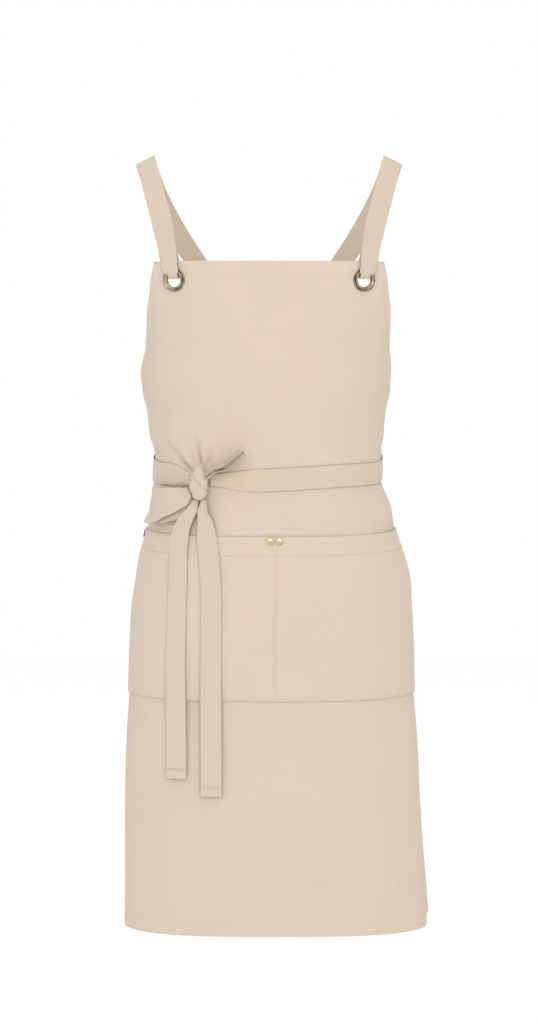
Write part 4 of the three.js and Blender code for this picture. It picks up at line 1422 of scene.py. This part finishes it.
@dataclass
class Strap:
    """Shoulder strap: through its eyelet, over the shoulder, across the back to the far corner."""

    STEPS: ClassVar[int] = 330
    EYELET_SHARE: ClassVar[float] = 5 / 24
    PLEAT_REACH: ClassVar[float] = 0.11
    PLEAT_RISE: ClassVar[float] = 0.0005
    CORNER_SHARES: ClassVar[tuple[float, ...]] = (0.45, 0.8, 1.0)
    form: Form
    finishes: Finishes
    side: Side

    def ring(self, spot: Spot, width: float) -> Ring:
        """One row of the strap's path."""
        return Ring(spot.at, spot.face, width, self.form.cut.strap_wall)

    def path(self) -> list[Ring]:
        """Rows of the strap's path from its end behind the bib to its end behind the waist."""
        c, form, side = self.form.cut, self.form, self.side.value
        step = c.strap_wall + 2 * c.gap
        run = side * c.eyelet_spacing / 2
        hole_top = c.eyelet_height + c.eyelet_bore / 2
        clear = c.gap + c.strap_wall / 2
        front = c.wall + 2 * c.gap + c.eyelet_metal + c.eyelet_painted_shade + clear
        behind = -(2 * c.gap + c.eyelet_metal + clear)
        turn = hole_top - c.eyelet_bore * 0.4
        fold_top = c.bib_top + c.strap_foldback
        over_edge = c.bib_top + c.strap_wall
        flange_top = c.eyelet_height + c.eyelet_flange / 2
        outer_run, edge_run, flange_run = (run + side * share * c.strap_width for share in (0.35, 0.22, 0.1))
        between = c.wall / 2 - c.gap
        width, throat = c.strap_width, c.strap_throat
        above, below = hole_top + c.strap_wall, hole_top - 2 * c.strap_wall
        behind_bib = (
            (fold_top, outer_run, between - step / 2, width),
            (over_edge, edge_run, -clear - c.gap, width * 0.92),
            (flange_top, flange_run, behind, width * 0.75),
            (above, run, behind, throat * 0.95),
            (below, run, behind, throat * 0.9),
        )
        before_bib = (
            (below, run, front + c.gap, throat * 0.9),
            (above, run, front + c.gap, throat * 1.15),
            (flange_top, flange_run, front, width * 0.88),
            (over_edge, edge_run, c.wall + clear + 2 * c.gap, width * 0.92),
        )
        rings = [self.ring(form.spot(*place).turned(), wide) for *place, wide in behind_bib]
        under = form.spot(turn, run, (front + behind) / 2)
        rings.append(Ring(under.at, Vector((0, 0, -1)), throat, c.strap_wall * 1.5))
        rings += [self.ring(form.spot(*place), wide) for *place, wide in before_bib]
        last = form.spot(fold_top, outer_run, between + step / 2)
        rings.append(self.ring(last, width))
        rings += self.over_shoulder(last, width)
        return rings

    def over_shoulder(self, last: Spot, width: float) -> list[Ring]:
        """Rows over the shoulder, down the back and inside the far corner."""
        c, form, side = self.form.cut, self.form, self.side.value
        step = c.strap_wall + 2 * c.gap
        rings = []
        bib_x, reach = abs(last.at.x), -last.at.y
        for out, forward, down in STRAP_FRONT:
            x = bib_x + (c.shoulder_span / 2 - bib_x) * out
            over = 1 - down
            face = Vector((side * (0.15 + 0.3 * over), -forward * 1.4, math.cos(c.shoulder_slope) * over))
            at = Vector((side * x, -reach * forward, -c.strap_rise * down))
            rings.append(Ring(at, face.normalized(), width, c.strap_wall))
        crossing = c.waist * CROSS_SHARE
        half = form.round(crossing) / 2
        middle = form.spot(crossing, half, c.strap_wall, folded=False)
        outer = 1.4 * step if side < 0 else 0.0
        for out, behind, down in STRAP_BACK:
            at = Vector((side * c.shoulder_span / 2 * out, middle.at.y * behind + outer * (1 - out),
                         c.waist * down))
            face = Vector((side * 0.4 * out, behind, max(0.0, 0.8 - 2.4 * down)))
            rings.append(Ring(at, face.normalized(), width, c.strap_wall))
        rings.append(self.ring(form.spot(crossing, half, c.strap_wall + outer, folded=False), width))
        inside = -(c.strap_wall / 2 + 3 * c.gap)
        corner = c.waist_span / 2 - c.tie_root_inset
        for share in self.CORNER_SHARES:
            z = crossing + (c.waist - c.tie_root_inset - crossing) * share
            half = form.round(z) / 2
            back = half + (corner - half) * share ** 1.1
            out = inside + (1 - float(smooth(share * 1.6))) * c.strap_wall
            rings.append(self.ring(form.spot(z, -side * back, out, folded=False), width))
        return rings

    def pleats(self, t: float, across: float) -> float:
        """Creases where the strap bunches in its eyelet."""
        near = max(0.0, 1 - abs(t - self.EYELET_SHARE) / self.PLEAT_REACH)
        return self.PLEAT_RISE * near * math.cos(across * 7.0 + 0.9)

    def ribbon(self) -> Ribbon:
        """The strap as a ribbon."""
        return Ribbon(f"strap_cloth_{self.side.word}", self.path(), self.STEPS, pleats=self.pleats)

    def dress(self, ribbon: Ribbon) -> None:
        """Make the strap and hand it over."""
        piece = ribbon.build(self.finishes.strap)
        seated(piece, f"shoulder_strap_{self.side.word}", Slot.STRAP)
        ribbon.length()


@dataclass
class Bow:
    """Waist ties, knot, loops and tails."""

    TIE_ROWS: ClassVar[int] = 40
    TIE_STEPS: ClassVar[int] = 300
    LOOP_STEPS: ClassVar[int] = 160
    TAIL_STEPS: ClassVar[int] = 260
    PLEAT_RISE: ClassVar[float] = 0.0006
    TAIL_HEM: ClassVar[float] = 0.0105
    HEM_RISE: ClassVar[float] = 0.0005
    HEM_SPREAD: ClassVar[float] = 0.004
    KNOT_SIDES: ClassVar[int] = 72
    KNOT_ROWS: ClassVar[int] = 48
    KNOT_RIPPLE: ClassVar[float] = 0.010
    KNOT_CLOTH: ClassVar[tuple[float, float]] = (0.07, 0.06)
    form: Form
    finishes: Finishes
    knot_run: float = field(init=False)
    knot_out: float = field(init=False)
    knot_at: Spot = field(init=False)
    knot_side: Vector = field(init=False)

    def __post_init__(self) -> None:
        """Place the knot."""
        c = self.form.cut
        self.knot_run = -c.knot_offset
        self.knot_out = c.wall + c.knot_seat + c.gap + c.knot_depth / 2
        self.knot_at = self.form.spot(c.knot_z, self.knot_run, self.knot_out, folded=False)
        self.knot_side = Vector((0, 0, 1)).cross(self.knot_at.face)

    def level(self, z: float, run: float, out: float, width: float) -> Spot:
        """Middle of a level strip that bridges any hollow between its two edges."""
        upper = self.form.spot(z + width / 2, run, out).at
        lower = self.form.spot(z - width / 2, run, out).at
        middle = self.form.spot(z, run, out)
        at = (upper + lower) * 0.5
        at = at + middle.face * max(0.0, middle.face.dot(middle.at - at))
        rise = (upper - lower).normalized()
        return Spot(at, (middle.face - rise * middle.face.dot(rise)).normalized())

    def tie(self, side: Side) -> Ribbon:
        """Waist tie from its root at a back corner round to the knot."""
        c, form, sign = self.form.cut, self.form, side.value
        root = sign * (c.waist_span / 2 - c.tie_root_inset)
        around = form.round(c.band)
        goal = self.knot_run - around if sign < 0 else self.knot_run + around
        stop = goal + (1 if sign < 0 else -1) * (c.knot_width * 0.22 + 2 * c.gap)
        outer = 0.0 if sign < 0 else c.tie_wall + 2 * c.gap
        on_top = c.wall + 2.4 * c.gap + c.tie_wall / 2
        rings = []
        for k in range(self.TIE_ROWS + 1):
            turn = k / self.TIE_ROWS
            run = root + (stop - root) * turn
            ahead = abs(run - root) / around
            low = along(TIE_ROUTE, 1, ahead) * c.band_back_step
            near = float(smooth((turn - 0.9) / 0.1))
            z = c.band - low + (c.knot_z + c.knot_height * 0.08 - c.band + low) * near
            apart = outer * float(smooth(ahead / 0.035)) * (1 - float(smooth((ahead - 0.25) / 0.07)))
            rise = c.knot_depth * 0.09 * float(smooth((turn - 0.95) / 0.05))
            spot = self.level(z, run * form.round(z) / around, on_top + apart + rise, c.tie_width)
            rings.append(Ring(spot.at, spot.face, c.tie_width + (c.tie_throat - c.tie_width) * near,
                              c.tie_wall + (c.tie_throat_wall - c.tie_wall) * near))

        def pleats(t: float, across: float) -> float:
            """Gathers that grow towards the knot."""
            near = float(smooth((t - 0.86) / 0.14))
            return near * 0.0007 * math.cos(across * 11 + 0.6)

        return Ribbon(f"tie_cloth_{side.word}", rings, self.TIE_STEPS, pleats=pleats)

    def off_knot(self, to_side: float, to_front: float, up: float) -> Spot:
        """A place just off the knot's surface, towards the side, the front and up."""
        c = self.form.cut
        way = Vector((to_side, to_front, up)).normalized()
        extra = c.tie_wall / 2 + 3.4 * c.gap
        half_width = c.knot_width / 2 * (1 - c.knot_taper * way.z)
        at = (self.knot_at.at + self.knot_side * way.x * (half_width + extra)
              + self.knot_at.face * way.y * (c.knot_depth / 2 + extra))
        at.z += way.z * (c.knot_height / 2 + extra)
        return Spot(at, self.knot_at.face.copy())

    def left_loop(self) -> Ribbon:
        """Broad loop that folds down to the left."""
        c = self.form.cut
        layer = c.tie_wall + 2 * c.gap
        start = self.off_knot(-0.75, 0.4, -0.45)
        rings = [Ring(start.at, start.face, c.tie_throat * 0.85, c.tie_wall)]
        for away, down, deep, width, back in LEFT_LOOP:
            z = self.knot_at.at.z - down * c.bow_drop_left
            spot = self.level(z, self.knot_run - away * c.bow_reach_left,
                              c.pocket_front + c.gap + deep * layer, c.tie_width * width)
            round_tip = Vector((spot.face.y, -spot.face.x, 0)).normalized()
            face = round_tip if back == 0.5 else spot.face * (-1 if back > 0 else 1)
            rings.append(Ring(spot.at, face, c.tie_width * width, c.tie_wall))
        end = self.off_knot(-0.78, -0.25, -0.55)
        rings.append(Ring(end.at, -end.face, c.tie_throat * 0.5, c.tie_wall))
        return Ribbon("loop_cloth_left", rings, self.LOOP_STEPS, pleats=self.end_pleats)

    def right_loop(self) -> Ribbon:
        """Small loop that stands on edge and points up to the right."""
        c = self.form.cut
        across = Vector((-0.6, 0, 0.8))
        stack = c.wall + c.tie_throat_wall + 6 * c.gap + c.tie_width * 0.3

        def place(away: float, up: float) -> Vector:
            """A place on the loop's middle line."""
            at = self.knot_at.at + Vector((away * c.bow_reach_right, 0, up * c.bow_reach_right))
            at.y = min(self.form.spot(at.z, at.x, stack).at.y, self.knot_at.at.y - c.knot_depth * 0.2)
            return at

        width, wall = c.tie_width * 0.6, c.tie_wall
        start = self.off_knot(0.86, 0.42, 0.5).at + self.knot_side * c.gap
        rings = [Ring(start, across.copy(), c.tie_throat * 0.35, wall)]
        for away, up, opened in RIGHT_LOOP:
            aside = across * opened * c.bow_reach_right
            rings.append(Ring(place(away, up) + aside, across.copy(), width, wall))
        rings.append(Ring(place(1, 0.72), Vector((0.8, 0, 0.6)), width, wall))
        for away, up, opened in reversed(RIGHT_LOOP):
            aside = across * opened * c.bow_reach_right
            rings.append(Ring(place(away, up) - aside, -across, width, wall))
        end = self.off_knot(0.88, 0.5, 0.22).at + self.knot_side * 2 * c.gap
        rings.append(Ring(end, -across, c.tie_throat * 0.3, wall))
        return Ribbon("loop_cloth_right", rings, self.LOOP_STEPS, pleats=self.end_pleats)

    def end_pleats(self, t: float, across: float) -> float:
        """Gathers at both ends of a loop."""
        near = float(smooth((0.2 - min(t, 1 - t)) / 0.2))
        return near * self.PLEAT_RISE * math.cos(across * 10 + 0.4)

    def tail(self, side: Side) -> Ribbon:
        """Hanging end of a tie."""
        c = self.form.cut
        to_side, hang, length = ((-0.3, -c.tail_hang_left, c.tail_length_left) if side is Side.LEFT
                                 else (0.36, c.tail_hang_right, c.tail_length_right))
        start = self.off_knot(to_side, -0.2, -0.95)
        rings = [Ring(start.at, start.face, c.tie_throat * 0.5, c.tie_wall)]
        on_pocket = c.pocket_front + 2 * c.gap + c.tie_wall / 2
        drop = length - (self.knot_at.at.z - start.at.z)
        for down, over, width, lifted in TAIL_ROUTE:
            spread = math.copysign(c.tail_spread, to_side) * (float(smooth(down / 0.55)) - 1)
            spot = self.form.spot(start.at.z - down * drop, self.knot_run + hang * over + spread,
                                  on_pocket + (self.knot_out - on_pocket) * lifted)
            rings.append(Ring(spot.at, spot.face, c.tie_width * width, c.tie_wall))

        seam = 1 - self.TAIL_HEM / length

        def pleats(t: float, across: float) -> float:
            """Gathers below the knot, fading down the tail, and the raised end hem."""
            near = float(smooth((0.42 - t) / 0.42))
            past = t - seam
            hem = self.HEM_RISE * float(smooth(past / self.HEM_SPREAD) - bell(past, self.HEM_SPREAD))
            return near * self.PLEAT_RISE * math.cos(across * 8 + 0.8 * side.value) + hem

        return Ribbon(f"tail_cloth_{side.word}", rings, self.TAIL_STEPS, pleats=pleats, seam=seam)

    def knot(self) -> bpy.types.Object:
        """Wrapped knot with creases where the cloth turns over itself."""
        c = self.form.cut
        around, rows = self.KNOT_SIDES, self.KNOT_ROWS
        points, cloth = [], []
        for j in range(rows + 1):
            polar = math.pi * j / rows
            for i in range(around):
                turn = 2 * math.pi * i / around
                wide = math.sin(polar)
                p = Vector((wide * math.cos(turn), wide * math.sin(turn), math.cos(polar)))
                dent = -self.KNOT_RIPPLE * math.sin(p.z * 22 - p.x * 9)
                for height, slope, spread, depth in KNOT_CREASES:
                    dent += depth * float(bell(p.z - slope * p.x - height, spread))
                size = 1 - dent * (1 - p.z ** 2)
                taper = 1 - c.knot_taper * p.z * size
                at = (self.knot_at.at + self.knot_side * (p.x * size * taper * c.knot_width / 2)
                      + self.knot_at.face * (p.y * size * c.knot_depth / 2))
                at.z += p.z * size * c.knot_height / 2
                points.append(tuple(at))
                cloth.append((i / around * self.KNOT_CLOTH[0], j / rows * self.KNOT_CLOTH[1]))
        faces = [[j * around + i, j * around + (i + 1) % around,
                  (j + 1) * around + (i + 1) % around, (j + 1) * around + i]
                 for j in range(rows) for i in range(around)]
        piece = mesh_object("knot_cloth", np.array(points), faces, self.finishes.strap, np.array(cloth),
                            np.zeros(len(points)))
        shape = bmesh.new()
        shape.from_mesh(piece.data)
        bmesh.ops.remove_doubles(shape, verts=shape.verts, dist=1e-6)
        bmesh.ops.recalc_face_normals(shape, faces=shape.faces)
        shape.to_mesh(piece.data)
        shape.free()
        return piece


class Studio:
    """Plain pale floor, soft light and the photograph's camera."""

    FLOOR_HEIGHT: ClassVar[float] = -1.45
    FLOOR_SIZE: ClassVar[float] = 6.0
    LAMPS: ClassVar[tuple[tuple[str, tuple[float, float, float], float, float], ...]] = (
        ("key_lamp", (-0.7, -3.4, 1.2), 24.0, 2.0),
        ("fill_lamp", (0.9, -3.2, 0.3), 13.0, 2.0),
        ("top_lamp", (0.0, -0.6, 2.4), 6.0, 1.6),
    )
    LAMP_AIM: ClassVar[tuple[float, float, float]] = (0.0, 0.0, -0.6)
    CAMERA_PLACE: ClassVar[tuple[float, float, float]] = (0.0, -4.2, -0.136)
    CAMERA_PITCH: ClassVar[float] = math.radians(90 - 4.665)
    LENS: ClassVar[float] = 108.56
    SENSOR: ClassVar[float] = 36.0
    SIGHT: ClassVar[float] = 30.0

    def build(self) -> None:
        """Set the floor, lights, world, camera and view."""
        scene = bpy.context.scene
        self._floor()
        world = bpy.data.worlds.new("soft_white")
        world.use_nodes = True
        sky = world.node_tree.nodes["Background"]
        sky.inputs["Color"].default_value = (1.0, 1.0, 1.0, 1)
        sky.inputs["Strength"].default_value = 1.0
        scene.world = world
        for lamp in self.LAMPS:
            self._lamp(*lamp)
        camera = bpy.data.cameras.new("photo_camera")
        camera.lens = self.LENS
        camera.sensor_width = self.SENSOR
        camera.clip_end = self.SIGHT
        holder = bpy.data.objects.new("photo_camera", camera)
        holder.location = self.CAMERA_PLACE
        holder.rotation_euler = (self.CAMERA_PITCH, 0, 0)
        scene.collection.objects.link(holder)
        scene.camera = holder
        scene.view_settings.view_transform = "Standard"
        scene.view_settings.look = "None"

    def _floor(self) -> None:
        """Pale floor far below the hem."""
        size, z = self.FLOOR_SIZE, self.FLOOR_HEIGHT
        mesh = bpy.data.meshes.new("floor")
        corners = [(-size, -size, z), (size, -size, z), (size, size, z), (-size, size, z)]
        mesh.from_pydata(corners, [], [(0, 1, 2, 3)])
        material, bench, shader = Bench.material("floor_white")
        bench.fill(shader, {"Base Color": (0.985, 0.985, 0.985, 1), "Roughness": 0.9})
        mesh.materials.append(material)
        floor = bpy.data.objects.new("floor", mesh)
        bpy.context.scene.collection.objects.link(floor)

    def _lamp(self, name: str, place: tuple[float, float, float], power: float, size: float) -> None:
        """Soft square lamp aimed at the apron's middle."""
        light = bpy.data.lights.new(name, "AREA")
        light.energy = power
        light.size = size
        lamp = bpy.data.objects.new(name, light)
        lamp.location = place
        aim = Vector(self.LAMP_AIM) - Vector(place)
        lamp.rotation_euler = aim.to_track_quat("-Z", "Y").to_euler()
        bpy.context.scene.collection.objects.link(lamp)


@dataclass
class Apron:
    """The whole dressed apron."""

    KNOT_WRAP: ClassVar[float] = 0.048
    form: Form
    finishes: Finishes

    def build(self) -> None:
        """Build and hand over every piece."""
        panel = Panel(self.form, self.finishes)
        panel.dress(panel.build())
        pocket = Pocket(self.form, self.finishes)
        pocket.dress(pocket.build())
        for side in Side:
            for metal in (Eyelet(self.form, self.finishes, side), Rivet(self.form, self.finishes, side)):
                metal.dress(metal.build())
        tab = SideTab(self.form, self.finishes)
        tab.dress(tab.build())
        straps = [Strap(self.form, self.finishes, side) for side in Side]
        ribbons = [strap.ribbon() for strap in straps]
        for strap, ribbon in zip(straps, ribbons):
            strap.dress(ribbon)
        self.dress_bow()
        self.stitch(pocket)

    def dress_bow(self) -> None:
        """Build and hand over the ties, knot, loops and tails."""
        c, bow = self.form.cut, Bow(self.form, self.finishes)
        parts: list[tuple[Ribbon, str, str, list[str]]] = []
        for side in Side:
            parts.append((bow.tie(side), f"waist_tie_{side.word}", "stretched", ["apron_panel"]))
            parts.append((bow.tail(side), f"tie_tail_{side.word}", "hung", ["bow_knot"]))
        parts.append((bow.left_loop(), "bow_loop_left", "folded", ["bow_knot"]))
        parts.append((bow.right_loop(), "bow_loop_right", "folded", ["bow_knot"]))
        for ribbon, node, held, rests in parts:
            piece = ribbon.build(self.finishes.strap)
            seated(piece, node, Slot.STRAP)
            ribbon.length()
        knot = bow.knot()
        seated(knot, "bow_knot", Slot.STRAP)

    def stitch(self, pocket: Pocket) -> None:
        """Lay the pocket's stitches."""
        rows = Stitching("pocket_stitches", self.finishes.thread)
        for line in pocket.seams():
            rows.follow(line)
        piece = rows.build()
        seated(piece, "front_pocket", Slot.CANVAS, replaces=False)


def main() -> None:
    """Build the apron and its studio."""
    logging.basicConfig(level=logging.INFO, format="%(name)s: %(message)s")
    form = Form(Cut())
    Apron(form, Finishes.build()).build()
    Studio().build()


if __name__ == "__main__":
    main()
